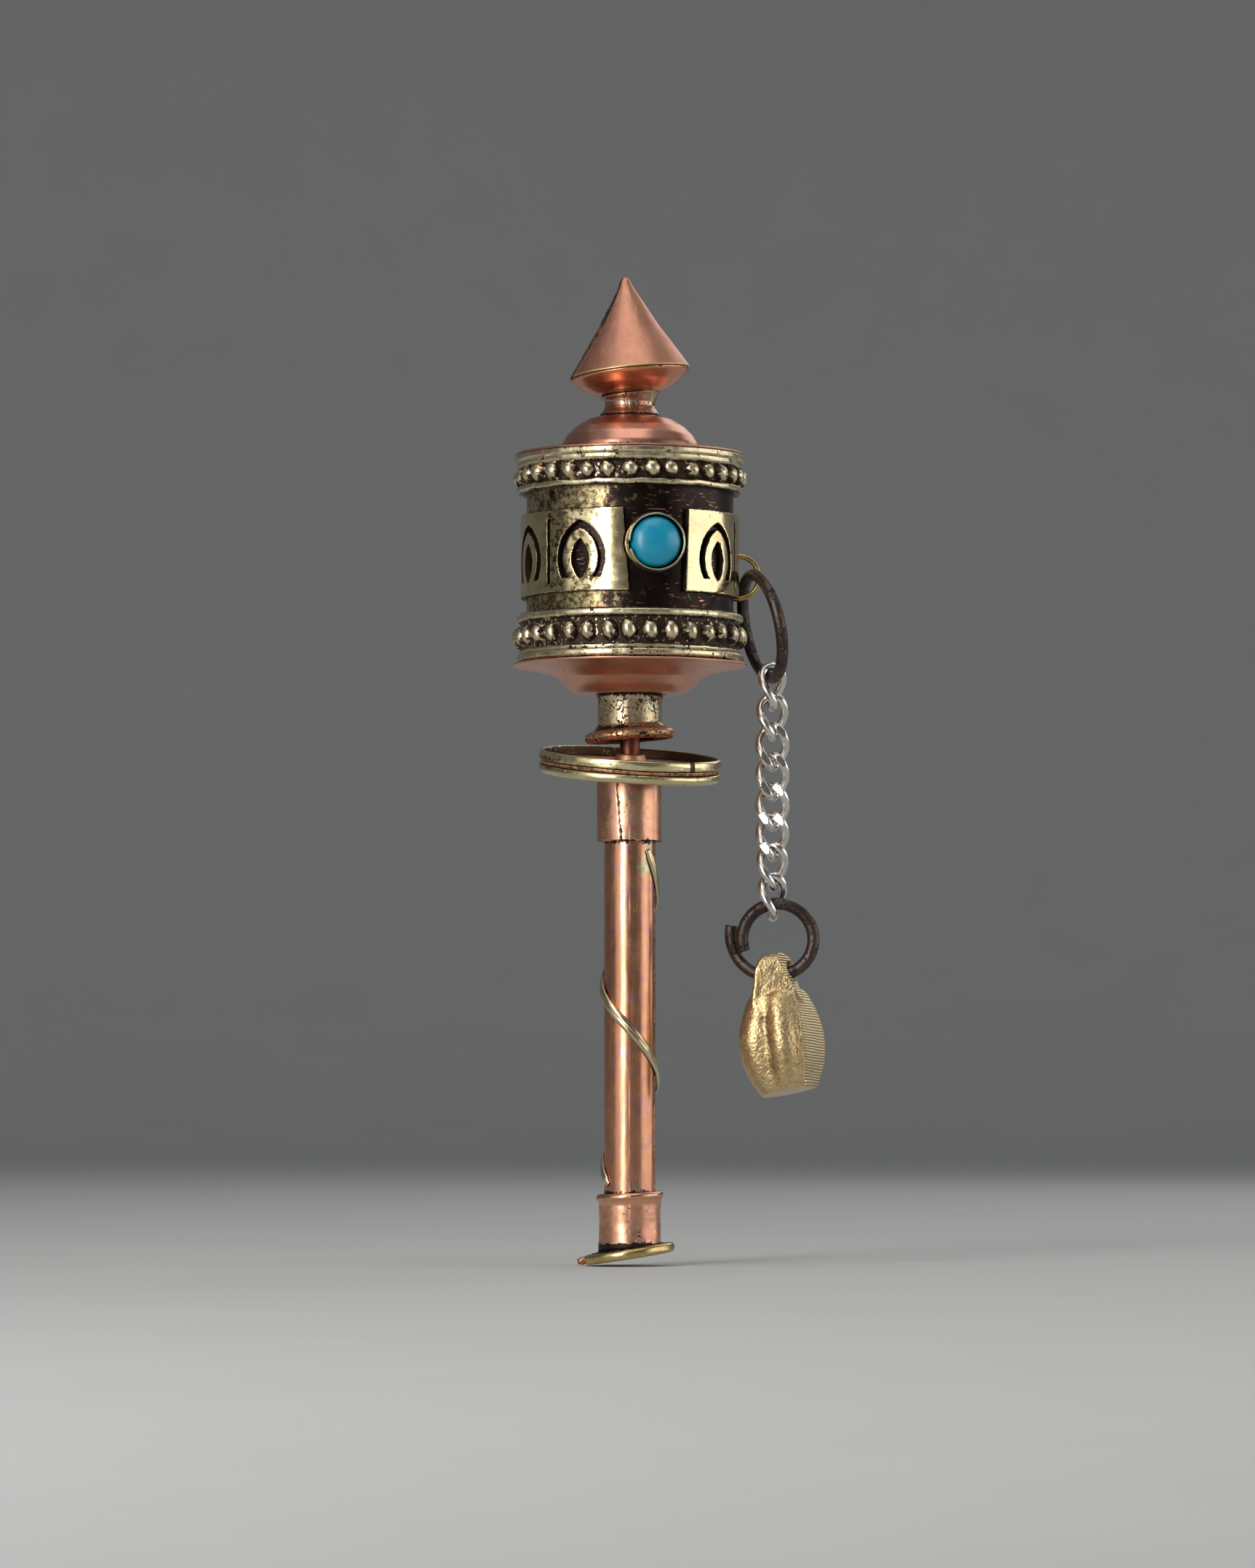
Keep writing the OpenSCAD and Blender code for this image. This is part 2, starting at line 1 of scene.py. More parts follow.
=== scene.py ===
import bmesh
import bpy
import math
import numpy as np
from mathutils import Matrix, Vector


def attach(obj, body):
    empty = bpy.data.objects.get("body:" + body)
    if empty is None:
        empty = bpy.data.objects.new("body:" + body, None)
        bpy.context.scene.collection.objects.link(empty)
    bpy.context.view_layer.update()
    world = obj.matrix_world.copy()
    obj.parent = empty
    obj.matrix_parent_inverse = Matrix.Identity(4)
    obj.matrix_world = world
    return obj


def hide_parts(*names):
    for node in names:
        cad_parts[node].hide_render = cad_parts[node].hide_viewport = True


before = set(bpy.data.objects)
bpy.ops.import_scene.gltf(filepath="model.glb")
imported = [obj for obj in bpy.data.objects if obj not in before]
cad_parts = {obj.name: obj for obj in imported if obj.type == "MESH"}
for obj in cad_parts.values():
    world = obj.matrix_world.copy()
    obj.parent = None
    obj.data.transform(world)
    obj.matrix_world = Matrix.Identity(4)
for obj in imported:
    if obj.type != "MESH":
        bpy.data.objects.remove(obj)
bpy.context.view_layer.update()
MM = 0.001
TAU = 2 * math.pi

# ---------------------------------------------------------------- numeric helpers


def rng_field(seed, n):
    """Smooth random values round a circle: call with an angle in radians and the first wave to keep."""
    r = np.random.default_rng(seed)
    amp = r.normal(size=n) / (1 + np.arange(n)) ** 0.8
    ph = r.uniform(0, TAU, n)

    def f(a, first):
        k = np.arange(first, n)[:, None]
        waves = amp[first:, None] * np.sin(k * np.ravel(a)[None] + ph[first:, None])
        return waves.sum(0).reshape(np.shape(a))
    return f


def smooth(x, a, b):
    t = np.clip((x - a) / (b - a), 0, 1)
    return t * t * (3 - 2 * t)


def wrapped(angle):
    """The same angle, brought to between minus and plus half a turn."""
    return (angle + math.pi) % TAU - math.pi


def ridge(x, at, width):
    """1 where x is at the given place, falling off on both sides of it."""
    return np.exp(-((x - at) / width) ** 2)


def round_axis(r, phi, z):
    """Points at a radius and a height, with phi 0 at the front and growing to the right."""
    return np.stack([r * np.sin(phi), -r * np.cos(phi), z], -1).reshape(-1, 3)


def hash2(ix, iy, seed):
    h = np.sin(ix * 127.1 + iy * 311.7 + seed * 74.7) * 43758.5453
    return h - np.floor(h)


def noise2(x, y, seed=0):
    ix, iy = np.floor(x), np.floor(y)
    fx, fy = x - ix, y - iy
    fx, fy = fx * fx * (3 - 2 * fx), fy * fy * (3 - 2 * fy)
    a, b = hash2(ix, iy, seed), hash2(ix + 1, iy, seed)
    c, d = hash2(ix, iy + 1, seed), hash2(ix + 1, iy + 1, seed)
    return (a * (1 - fx) + b * fx) * (1 - fy) + (c * (1 - fx) + d * fx) * fy - 0.5


def fbm2(x, y, seed=0, octaves=4):
    total, amp = 0, 1.0
    for k in range(octaves):
        total = total + amp * noise2(x * 2 ** k, y * 2 ** k, seed + k * 13)
        amp *= 0.5
    return total


def hash3(ix, iy, iz, seed):
    h = np.sin(ix * 127.1 + iy * 311.7 + iz * 191.3 + seed * 74.7) * 43758.5453
    return h - np.floor(h)


def noise3(p, seed=0):
    i = np.floor(p)
    f = p - i
    f = f * f * (3 - 2 * f)
    total = 0
    for dx in (0, 1):
        for dy in (0, 1):
            for dz in (0, 1):
                w = (f[:, 0] if dx else 1 - f[:, 0]) * (f[:, 1] if dy else 1 - f[:, 1])
                w = w * (f[:, 2] if dz else 1 - f[:, 2])
                total = total + w * hash3(i[:, 0] + dx, i[:, 1] + dy, i[:, 2] + dz, seed)
    return total - 0.5


def fbm3(p, seed=0, octaves=3):
    return sum(0.5 ** k * noise3(p * 2 ** k, seed + 13 * k) for k in range(octaves))


def rot_y(deg):
    return Matrix.Rotation(math.radians(deg), 3, "Y")


def rot_x(deg):
    return Matrix.Rotation(math.radians(deg), 3, "X")


def rot_z(deg):
    return Matrix.Rotation(math.radians(deg), 3, "Z")


def turn_points(p, m, about=(0, 0, 0)):
    """Applies a 3x3 matrix to an array of points about a point, all in millimetres."""
    about = np.array(about, float)
    return (p - about) @ np.array(m).T + about


# ---------------------------------------------------------------- mesh helpers


def add_masks(me, masks):
    """Stores a value from 0 to 1 at each point, for the materials to read."""
    for label, values in masks.items():
        if values is not None:
            a = me.attributes.new(label, "FLOAT", "POINT")
            a.data.foreach_set("value", np.asarray(values, np.float32).ravel())


def new_mesh(name, verts, faces, cav=None, smooth_faces=True, sharp_deg=None, extra=None):
    """Makes an object from points in millimetres. faces is an array of quads, or a list of polygons."""
    me = bpy.data.meshes.new(name)
    verts = np.asarray(verts, float) * MM
    if isinstance(faces, np.ndarray):
        n = len(faces)
        me.vertices.add(len(verts))
        me.vertices.foreach_set("co", verts.ravel())
        me.loops.add(n * faces.shape[1])
        me.loops.foreach_set("vertex_index", faces.ravel().astype(np.int32))
        me.polygons.add(n)
        me.polygons.foreach_set("loop_start", np.arange(0, n * faces.shape[1], faces.shape[1],
                                                        dtype=np.int32))
        me.update(calc_edges=True)
    else:
        me.from_pydata([tuple(v) for v in verts], [], [tuple(int(i) for i in f) for f in faces])
    me.validate()
    me.polygons.foreach_set("use_smooth", np.full(len(me.polygons), smooth_faces))
    add_masks(me, {"cav": cav, **(extra or {})})
    if sharp_deg is not None:
        me.set_sharp_from_angle(angle=math.radians(sharp_deg))
    o = bpy.data.objects.new(name, me)
    bpy.context.scene.collection.objects.link(o)
    return o


def finish_piece(o, mat, body, nodes):
    o.data.materials.append(mat)
    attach(o, body)
    if nodes:
        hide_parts(*nodes)
    return o


def grid_faces(nu, nv, wrap_u=True, wrap_v=False, offset=0, flip=False):
    """Quads over a grid of nu columns and nv rows, stored row by row (v * nu + u)."""
    u = np.arange(nu if wrap_u else nu - 1)
    v = np.arange(nv if wrap_v else nv - 1)
    U, V = np.meshgrid(u, v)
    U, V = U.ravel(), V.ravel()
    U1, V1 = (U + 1) % nu, (V + 1) % nv
    f = np.c_[V * nu + U, V * nu + U1, V1 * nu + U1, V1 * nu + U] + offset
    return f[:, ::-1] if flip else f


def densify(profile, step):
    """Fills in a list of points, so that neighbours are no more than a step apart."""
    out = []
    p = np.array(profile, float)
    for a, b in zip(p[:-1], p[1:]):
        n = max(1, int(np.ceil(np.linalg.norm(b - a) / step)))
        for k in range(n):
            out.append(a + (b - a) * k / n)
    out.append(p[-1])
    return np.array(out)


def soften(profile, passes, keep_ends=True):
    p = profile.copy()
    for _ in range(passes):
        q = p.copy()
        q[1:-1] = p[1:-1] * 0.5 + (p[:-2] + p[2:]) * 0.25
        if not keep_ends:
            q[0] = p[0] * 0.5 + (p[1] + p[-1]) * 0.25
            q[-1] = p[-1] * 0.5 + (p[0] + p[-2]) * 0.25
        p = q
    return p


def lathe(name, profile, segs=192, step=0.08, passes=3, closed=True, shape=None, marks=None, post=None,
          sharp=None):
    """Turns a profile of (radius, height) round Z.

    shape(phi, r, z, c) may move the points and sets c, how deep the grime lies. marks(phi, r, z) gives more
    named surface masks. phi is 0 at the front and grows to the right.
    """
    p = np.array(profile, float)
    if closed:
        p = np.vstack([p, p[:1]])
    p = densify(p, step)
    if closed:
        p = p[:-1]
        p = soften(p, passes, keep_ends=False)
    else:
        p = soften(p, passes)
    nv = len(p)
    phi = np.linspace(0, TAU, segs, endpoint=False)
    PH, R = np.meshgrid(phi, p[:, 0])
    _, Z = np.meshgrid(phi, p[:, 1])
    C = np.zeros_like(R)
    extra = {k: v.ravel() for k, v in marks(PH, R, Z).items()} if marks else {}
    if shape:
        R, Z, C = shape(PH, R, Z, C)
    v = round_axis(R, PH, Z)
    if post:
        v = post(v)
    f = grid_faces(segs, nv, True, closed)
    o = new_mesh(name, v, f, cav=C.ravel(), sharp_deg=sharp, extra=extra)
    if p[:, 0].min() < 0.001:
        weld(o)
    fix_normals(o)
    return o


def turned_piece(name, mat, body, slot_name, profile, **shaping):
    return finish_piece(lathe(name, profile, **shaping), mat, body, [name])


def weld(o):
    """Joins the points that meet at the axis."""
    b = bmesh.new()
    b.from_mesh(o.data)
    bmesh.ops.remove_doubles(b, verts=b.verts, dist=0.002 * MM)
    b.to_mesh(o.data)
    b.free()


def fix_normals(o):
    """Turns the faces outward: flips the mesh if its signed volume is negative."""
    me = o.data
    n = len(me.vertices)
    co = np.empty(n * 3)
    me.vertices.foreach_get("co", co)
    co = co.reshape(-1, 3)
    me.calc_loop_triangles()
    t = np.empty(len(me.loop_triangles) * 3, np.int32)
    me.loop_triangles.foreach_get("vertices", t)
    t = t.reshape(-1, 3)
    vol = np.einsum("ij,ij->i", co[t[:, 0]], np.cross(co[t[:, 1]], co[t[:, 2]])).sum()
    if vol < 0:
        me.flip_normals()


def sweep(name, path, section, ref, closed=True, scale=None, post=None, sharp=None):
    """Sweeps a closed section (across, out) along a path, both in millimetres.

    ref(point) gives the outward direction.
    """
    path = np.asarray(path, float)
    section = np.asarray(section, float)
    n, m = len(path), len(section)
    if closed:
        t = np.roll(path, -1, 0) - np.roll(path, 1, 0)
    else:
        t = np.gradient(path, axis=0)
    t /= np.linalg.norm(t, axis=1, keepdims=True)
    out = ref(path)
    out = out - (out * t).sum(1, keepdims=True) * t
    out /= np.linalg.norm(out, axis=1, keepdims=True)
    side = np.cross(t, out)
    s = np.ones(n) if scale is None else scale
    v = path[:, None] + s[:, None, None] * (section[None, :, :1] * side[:, None]
                                            + section[None, :, 1:] * out[:, None])
    v = v.reshape(-1, 3)
    f = grid_faces(m, n, True, closed)
    if not closed:
        c0, c1 = v[:m].mean(0), v[-m:].mean(0)
        v = np.vstack([v, c0, c1])
        quads = [tuple(q) for q in f]
        quads += [((k + 1) % m, k, n * m) for k in range(m)]
        quads += [((n - 1) * m + k, (n - 1) * m + (k + 1) % m, n * m + 1) for k in range(m)]
        f = quads
    if post:
        v = post(v)
    o = new_mesh(name, v, f, sharp_deg=sharp)
    fix_normals(o)
    return o


def circle_section(r, n):
    a = np.linspace(0, TAU, n, endpoint=False)
    return np.c_[r * np.cos(a), r * np.sin(a)]


# ---------------------------------------------------------------- materials


class Nodes:
    def __init__(self, name):
        self.mat = bpy.data.materials.new(name)
        self.mat.use_nodes = True
        self.t = self.mat.node_tree
        self.t.nodes.clear()
        self.out = self.t.nodes.new("ShaderNodeOutputMaterial")
        self.bsdf = self.t.nodes.new("ShaderNodeBsdfPrincipled")
        self.t.links.new(self.bsdf.outputs[0], self.out.inputs[0])
        self.coord = self.t.nodes.new("ShaderNodeTexCoord").outputs["Object"]

    def put(self, kind, **settings):
        n = self.t.nodes.new(kind)
        for k, v in settings.items():
            setattr(n, k, v)
        return n

    def link(self, a, b):
        self.t.links.new(a, b)

    def feed(self, name, socket):
        self.link(socket, self.bsdf.inputs[name])

    def scaled(self, sx, sy=None, sz=None, rotate=(0, 0, 0)):
        m = self.put("ShaderNodeMapping")
        m.inputs["Scale"].default_value = (sx, sy or sx, sz or sx)
        m.inputs["Rotation"].default_value = rotate
        self.link(self.coord, m.inputs["Vector"])
        return m.outputs[0]

    def noise(self, scale, detail=4, rough=0.55, vec=None, dist=0.0):
        n = self.put("ShaderNodeTexNoise")
        n.inputs["Scale"].default_value = scale
        n.inputs["Detail"].default_value = detail
        n.inputs["Roughness"].default_value = rough
        n.inputs["Distortion"].default_value = dist
        self.link(vec if vec is not None else self.coord, n.inputs["Vector"])
        return n.outputs["Fac"]

    def voronoi(self, scale):
        n = self.put("ShaderNodeTexVoronoi")
        n.inputs["Scale"].default_value = scale
        self.link(self.coord, n.inputs["Vector"])
        return n.outputs["Distance"]

    def ramp(self, fac, stops):
        n = self.put("ShaderNodeValToRGB")
        e = n.color_ramp.elements
        while len(e) < len(stops):
            e.new(0.5)
        for k, (pos, col) in enumerate(stops):
            e[k].position = pos
            e[k].color = (col, col, col, 1) if isinstance(col, (int, float)) else (*col, 1)
        self.link(fac, n.inputs[0])
        return n.outputs[0]

    def rise(self, fac, low, high):
        """Goes from 0 to 1 while the factor goes from low to high."""
        return self.ramp(fac, [(low, 0.0), (high, 1.0)])

    def math(self, op, a, b=None):
        n = self.put("ShaderNodeMath", operation=op)
        for k, x in enumerate((a, b)):
            if x is None:
                continue
            if isinstance(x, (int, float)):
                n.inputs[k].default_value = x
            else:
                self.link(x, n.inputs[k])
        return n.outputs[0]

    def mix(self, fac, a, b):
        n = self.put("ShaderNodeMix", data_type="RGBA")
        f = n.inputs["Factor"]
        ca = [i for i in n.inputs if i.name == "A" and i.type == "RGBA"][0]
        cb = [i for i in n.inputs if i.name == "B" and i.type == "RGBA"][0]
        for x, s in ((fac, f), (a, ca), (b, cb)):
            if isinstance(x, (int, float)):
                s.default_value = x
            elif isinstance(x, tuple):
                s.default_value = (*x, 1)
            else:
                self.link(x, s)
        return [o for o in n.outputs if o.type == "RGBA"][0]

    def attr(self, name):
        n = self.put("ShaderNodeAttribute", attribute_name=name)
        return n.outputs["Fac"]

    def bump(self, height, strength, distance, prev=None):
        n = self.put("ShaderNodeBump")
        n.inputs["Strength"].default_value = strength
        n.inputs["Distance"].default_value = distance
        self.link(height, n.inputs["Height"])
        if prev is not None:
            self.link(prev, n.inputs["Normal"])
        return n.outputs[0]


def srgb(r, g, b):
    def f(c):
        c /= 255
        return c / 12.92 if c <= 0.04045 else ((c + 0.055) / 1.055) ** 2.4
    return (f(r), f(g), f(b))


def metal(name, colours, rough=(0.2, 0.35), grime=None, speckle=0.06, speckle_scale=2600, cav=0.6,
          mark=None, mark_scale=900, edge=None, streaks=None, scratch=0.3, pits=0.3, dents=0.3,
          dent_scale=420, tint_scale=260, grime_rough=0.5):
    """A worn metal.

    colours are two or three tints that drift into each other. Grime covers the share given by speckle, and
    fills whatever the cav attribute marks. The mark attribute brings out a second metal in ragged patches,
    and the edge attribute a third, along rubbed edges.
    """
    g = Nodes(name)
    col = g.mix(g.rise(g.noise(tint_scale, 4, 0.6), 0.38, 0.62), colours[0], colours[1])
    if len(colours) > 2:
        col = g.mix(g.rise(g.noise(tint_scale * 2.3, 5, 0.65, dist=0.5), 0.5, 0.66), col, colours[2])
    if mark is not None:
        patchy = g.math("ADD", g.noise(mark_scale, 5, 0.7, dist=0.3),
                        g.math("MULTIPLY", g.attr("mark"), 0.5))
        marked = g.mix(g.rise(g.noise(speckle_scale * 0.6, 4, 0.7), 0.4, 0.62),
                       tuple(0.66 * c for c in mark), mark)
        col = g.mix(g.rise(patchy, 0.61, 0.74), col, marked)
    if edge is not None:
        col = g.mix(g.attr("edge"), col, edge)
    fine = g.noise(speckle_scale, 5, 0.7)
    mid = g.noise(speckle_scale * 0.21, 4, 0.6, dist=0.4)
    spots = g.math("ADD", g.math("MULTIPLY", fine, 0.62), g.math("MULTIPLY", mid, 0.38))
    spots = g.math("ADD", spots, g.math("MULTIPLY", g.attr("cav"), cav))
    start = 0.5 + 0.12 * (1 - 2 * speckle)
    dirt = g.ramp(spots, [(start, 0.0), (start + 0.05, 1.0)])
    col = g.mix(dirt, col, grime or GRIME)
    g.feed("Base Color", col)
    smudge = g.ramp(g.noise(tint_scale * 1.9, 5, 0.65), [(0.32, rough[0]), (0.68, rough[1])])
    lines = g.noise(1.0, 3, 0.6, vec=g.scaled(*(streaks or (2600, 2600, 300))))
    scored = g.rise(lines, 0.5, 0.72)
    r = g.math("ADD", smudge, g.math("MULTIPLY", scored, 0.15 * scratch))
    g.feed("Roughness", g.mix(dirt, r, (grime_rough,) * 3))
    g.feed("Metallic", g.ramp(dirt, [(0.0, 1.0), (1.0, 0.75)]))
    n1 = g.bump(lines, 0.4 * scratch, 0.00002)
    n2 = g.bump(g.math("SUBTRACT", 1.0, dirt), pits, 0.00003, n1)
    n3 = g.bump(g.noise(dent_scale, 4, 0.6), dents, 0.00008, n2)
    g.feed("Normal", n3)
    return g.mat


GRIME = srgb(44, 32, 25)
COPPER = srgb(214, 154, 122)
COPPER_PINK = srgb(206, 145, 122)
COPPER_ORANGE = srgb(217, 152, 113)
PALE_BRASS = srgb(222, 210, 170)

m_cone = metal(
    "copper_satin", [srgb(206, 147, 120), srgb(200, 140, 118), srgb(196, 140, 108)], rough=(0.38, 0.48),
    speckle=-0.1, edge=srgb(216, 190, 140), cav=0.42, grime=srgb(66, 46, 36), scratch=0.5, pits=0.3,
    dents=0.14)
m_copper = metal(
    "copper_bright", [COPPER_ORANGE, COPPER, COPPER_PINK], rough=(0.2, 0.34), speckle=-0.08, cav=0.5,
    scratch=0.4, pits=0.4, dents=0.15)
m_dome = metal(
    "copper_dome", [srgb(198, 142, 120), COPPER_PINK], rough=(0.22, 0.34), speckle=-0.04, cav=0.5,
    scratch=0.4, pits=0.4, dents=0.1)
m_plate = metal(
    "copper_dish", [srgb(216, 164, 140), srgb(208, 156, 134)], rough=(0.3, 0.42), speckle=0.0, cav=0.5,
    scratch=0.5, pits=0.6, dents=0.2)
m_neck = metal(
    "copper_neck", [srgb(196, 150, 126), srgb(180, 134, 112)], rough=(0.2, 0.34), speckle=0.3,
    speckle_scale=3800, grime=srgb(70, 46, 36), mark=srgb(214, 198, 168), mark_scale=900, cav=0.5,
    pits=0.7, dents=0.5)
m_tube = metal(
    "copper_tube", [COPPER, COPPER_ORANGE, srgb(196, 146, 136)], rough=(0.2, 0.3), speckle=-0.02,
    speckle_scale=3600, mark=srgb(206, 190, 152), mark_scale=520, cav=0.5, streaks=(3200, 3200, 150),
    scratch=0.8, pits=0.3, dents=0.12, dent_scale=300)
m_ferrule = metal(
    "copper_ferrule", [srgb(226, 170, 134), COPPER_PINK, srgb(226, 172, 144)], rough=(0.24, 0.36),
    speckle=0.12, mark=srgb(206, 190, 160), mark_scale=1100, edge=srgb(236, 210, 180), cav=0.5,
    streaks=(2400, 2400, 220), pits=0.5, dents=0.25)
m_collar = metal(
    "copper_soldered", [srgb(212, 192, 152), srgb(204, 168, 130), srgb(198, 184, 150)],
    rough=(0.22, 0.38), speckle=0.42, speckle_scale=4200, mark=srgb(210, 198, 166), mark_scale=900,
    edge=COPPER_ORANGE, cav=0.4, pits=1.0, dents=0.6)
m_guard = metal(
    "guard_brass", [srgb(224, 210, 164), srgb(212, 196, 146), PALE_BRASS], rough=(0.2, 0.32),
    speckle=0.02, mark=srgb(158, 122, 88), mark_scale=1200, grime=srgb(82, 62, 44), cav=0.5,
    streaks=(300, 300, 2400), pits=0.5, dents=0.5)
m_guard_plate = metal(
    "guard_copper", [srgb(220, 166, 128), srgb(206, 148, 114)], rough=(0.4, 0.55), speckle=0.02,
    grime=srgb(104, 76, 56), cav=0.35, pits=0.6, dents=0.6, mark=srgb(206, 186, 140), mark_scale=700)
m_beads = metal(
    "bead_brass", [srgb(202, 190, 158), srgb(206, 176, 148), PALE_BRASS], rough=(0.22, 0.36), speckle=0.2,
    speckle_scale=3800, grime=srgb(54, 40, 30), cav=0.27, mark=srgb(150, 128, 98), mark_scale=2200,
    edge=PALE_BRASS, scratch=0.3, pits=0.8, dents=0.6, dent_scale=1300)
# The mark colour is the dark of the patches on the pierced band's front left: scratches with a painted
# reflection.
m_band = metal(
    "band_brass", [srgb(228, 212, 168), srgb(220, 200, 156), srgb(212, 186, 136)], rough=(0.12, 0.22),
    speckle=-0.04, speckle_scale=3000, mark=srgb(104, 92, 62), mark_scale=1700, grime=srgb(60, 46, 32),
    cav=0.5, streaks=(500, 500, 2600), scratch=0.6, pits=0.3, dents=0.2, dent_scale=260)
m_bezel = metal(
    "bezel_silver", [srgb(206, 198, 170), srgb(190, 178, 146)], rough=(0.2, 0.32), speckle=0.12,
    grime=srgb(34, 27, 24), cav=0.5, pits=0.7, dents=0.6, dent_scale=900)
m_strip = metal(
    "strip_brass", [srgb(218, 208, 176), srgb(206, 190, 150)], rough=(0.14, 0.26), speckle=-0.02,
    grime=srgb(70, 52, 40), cav=0.5, pits=0.3, dents=0.3)
m_foot = metal(
    "foot_brass", [srgb(208, 190, 132), srgb(196, 172, 112)], rough=(0.2, 0.32), speckle=0.04,
    grime=srgb(60, 62, 52), mark=srgb(120, 158, 150), mark_scale=2400, cav=0.5, pits=0.5, dents=0.5)
m_eye = metal(
    "eye_brass", [srgb(196, 168, 106), srgb(166, 136, 84)], rough=(0.22, 0.34), speckle=0.04, pits=0.4)
m_iron = metal(
    "iron_wire", [srgb(92, 83, 78), srgb(70, 62, 59), srgb(86, 68, 56)], rough=(0.34, 0.5), speckle=0.38,
    speckle_scale=4200, grime=srgb(44, 35, 31), mark=srgb(170, 154, 138), mark_scale=1500, cav=0.4,
    pits=1.0, dents=0.7, dent_scale=1800)
m_silver = metal(
    "silver_chain", [srgb(226, 221, 214), srgb(212, 207, 200)], rough=(0.15, 0.22), speckle=-0.2,
    grime=srgb(96, 88, 80), cav=0.3, scratch=0.15, pits=0.1, dents=0.05)
m_spindle = metal(
    "spindle_copper", [srgb(132, 80, 64), srgb(108, 64, 52)], rough=(0.38, 0.55), speckle=0.3,
    grime=srgb(54, 32, 26), cav=0.4, pits=0.8, dents=0.6)
m_inner = metal("inner_brass", [srgb(186, 166, 116), srgb(166, 146, 98)], rough=(0.3, 0.45))


def patina_material():
    """The drum wall: nearly black, with brassy patches and fine copper scratches. The patches are scouring,
    and on the left side, where the mark attribute adds to them, also a painted reflection.
    """
    g = Nodes("drum_patina")
    col = g.mix(g.rise(g.noise(500, 5, 0.7), 0.4, 0.62), srgb(30, 23, 20), srgb(44, 33, 28))
    # Brassy patches: scouring all round, plus a painted reflection on the left side, where the mark
    # attribute pushes them up.
    patchy = g.math("ADD", g.noise(1100, 6, 0.72, dist=0.4), g.math("MULTIPLY", g.attr("mark"), 0.4))
    brassy_wear_and_reflection = g.rise(patchy, 0.64, 0.78)
    brassy = g.mix(g.rise(g.noise(2600, 5, 0.75), 0.42, 0.6), srgb(84, 72, 50), srgb(182, 164, 120))
    col = g.mix(brassy_wear_and_reflection, col, brassy)
    lines_a = g.noise(1.0, 2, 0.5, vec=g.scaled(900, 900, 7000, (0.0, 0.5, 0.3)))
    lines_b = g.noise(1.0, 2, 0.5, vec=g.scaled(900, 900, 7000, (0.3, -0.6, 0.0)))
    cuts = g.math("MAXIMUM", g.rise(lines_a, 0.66, 0.70), g.rise(lines_b, 0.68, 0.72))
    where = g.rise(g.noise(330, 4, 0.6), 0.42, 0.56)
    cuts = g.math("MULTIPLY", cuts, where)
    col = g.mix(cuts, col, srgb(196, 132, 106))
    rub = g.rise(g.noise(620, 5, 0.75, dist=0.8), 0.66, 0.70)
    col = g.mix(rub, col, srgb(206, 138, 112))
    g.feed("Base Color", col)
    g.bsdf.inputs["Metallic"].default_value = 0.9
    g.feed("Roughness", g.ramp(g.noise(900, 5, 0.7), [(0.3, 0.26), (0.7, 0.42)]))
    n1 = g.bump(cuts, 0.4, 0.00002)
    g.feed("Normal", g.bump(g.noise(1500, 5, 0.7), 0.5, 0.00004, n1))
    return g.mat


m_wall = patina_material()

# ---------------------------------------------------------------- hidden pieces keep their CAD shape


def plain(name, a, b, rough, scale):
    g = Nodes(name)
    col = g.mix(g.noise(scale, 5, 0.6, vec=g.scaled(1, 1, 0.15)), a, b)
    g.feed("Base Color", col)
    g.feed("Roughness", g.ramp(g.noise(scale * 2, 4), [(0.3, rough - 0.1), (0.7, rough + 0.1)]))
    g.feed("Normal", g.bump(g.noise(scale * 3, 4), 0.3, 0.00005))
    return g.mat


m_wood = plain("core_wood", srgb(122, 84, 52), srgb(90, 60, 36), 0.6, 900)
m_paper = plain("scroll_paper", srgb(226, 210, 172), srgb(206, 186, 146), 0.8, 700)


def dress(node, mat):
    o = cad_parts[node]
    o.data.materials.clear()
    o.data.materials.append(mat)


dress("handle_core", m_wood)
dress("prayer_scroll", m_paper)
dress("thrust_washer", m_inner)
dress("spindle_stop", m_inner)
dress("bearing_sleeve", m_inner)

# ---------------------------------------------------------------- finial

LEAN_DEG = -6
LEAN = rot_y(LEAN_DEG)
RIM_Z = 73.76


def on_rim(v):
    return turn_points(v, LEAN, (0, 0, 73.75))


SEAM_RIM, SEAM_TIP = math.radians(-70), math.radians(-36)
TIP_Z = 81.95
TIP_SHIFT = 0.42


def cone_height(Z):
    return np.clip((Z - RIM_Z) / (TIP_Z - RIM_Z), 0, 1)


def from_seam(PH, Z):
    """Angle round the cone from the edge of its lap, growing to the right."""
    return np.mod(PH - (SEAM_RIM + (SEAM_TIP - SEAM_RIM) * cone_height(Z)), TAU)


def cone_outside(R, Z):
    return R > np.interp(Z, [RIM_Z, 77.3, 81.6], [4.95, 2.7, 0.12])


def cone_shape(PH, R, Z, C):
    t = cone_height(Z)
    d = from_seam(PH, Z)
    outer = np.where(cone_outside(R, Z), 1.0, 0.0)
    thin = smooth(1 - t, 0.0, 0.15)
    lap = 0.15 * (1 - d / TAU) ** 2 * smooth(d, 0.0, 0.05) * thin
    wob = 0.035 * fbm2(PH * 3, Z * 0.5, 3) * smooth(1 - t, 0, 0.3)
    strip = smooth(d, TAU - 0.62 - 0.5 * t, TAU - 0.5 - 0.5 * t)
    C = (strip * (0.55 + 0.5 * fbm2(PH * 9, Z * 2.4, 4)) + 0.7 * smooth(d, TAU - 0.05, TAU)) * outer
    R = R + (lap + wob - 0.13 * thin) * outer
    return np.maximum(R, 0.0), Z, C


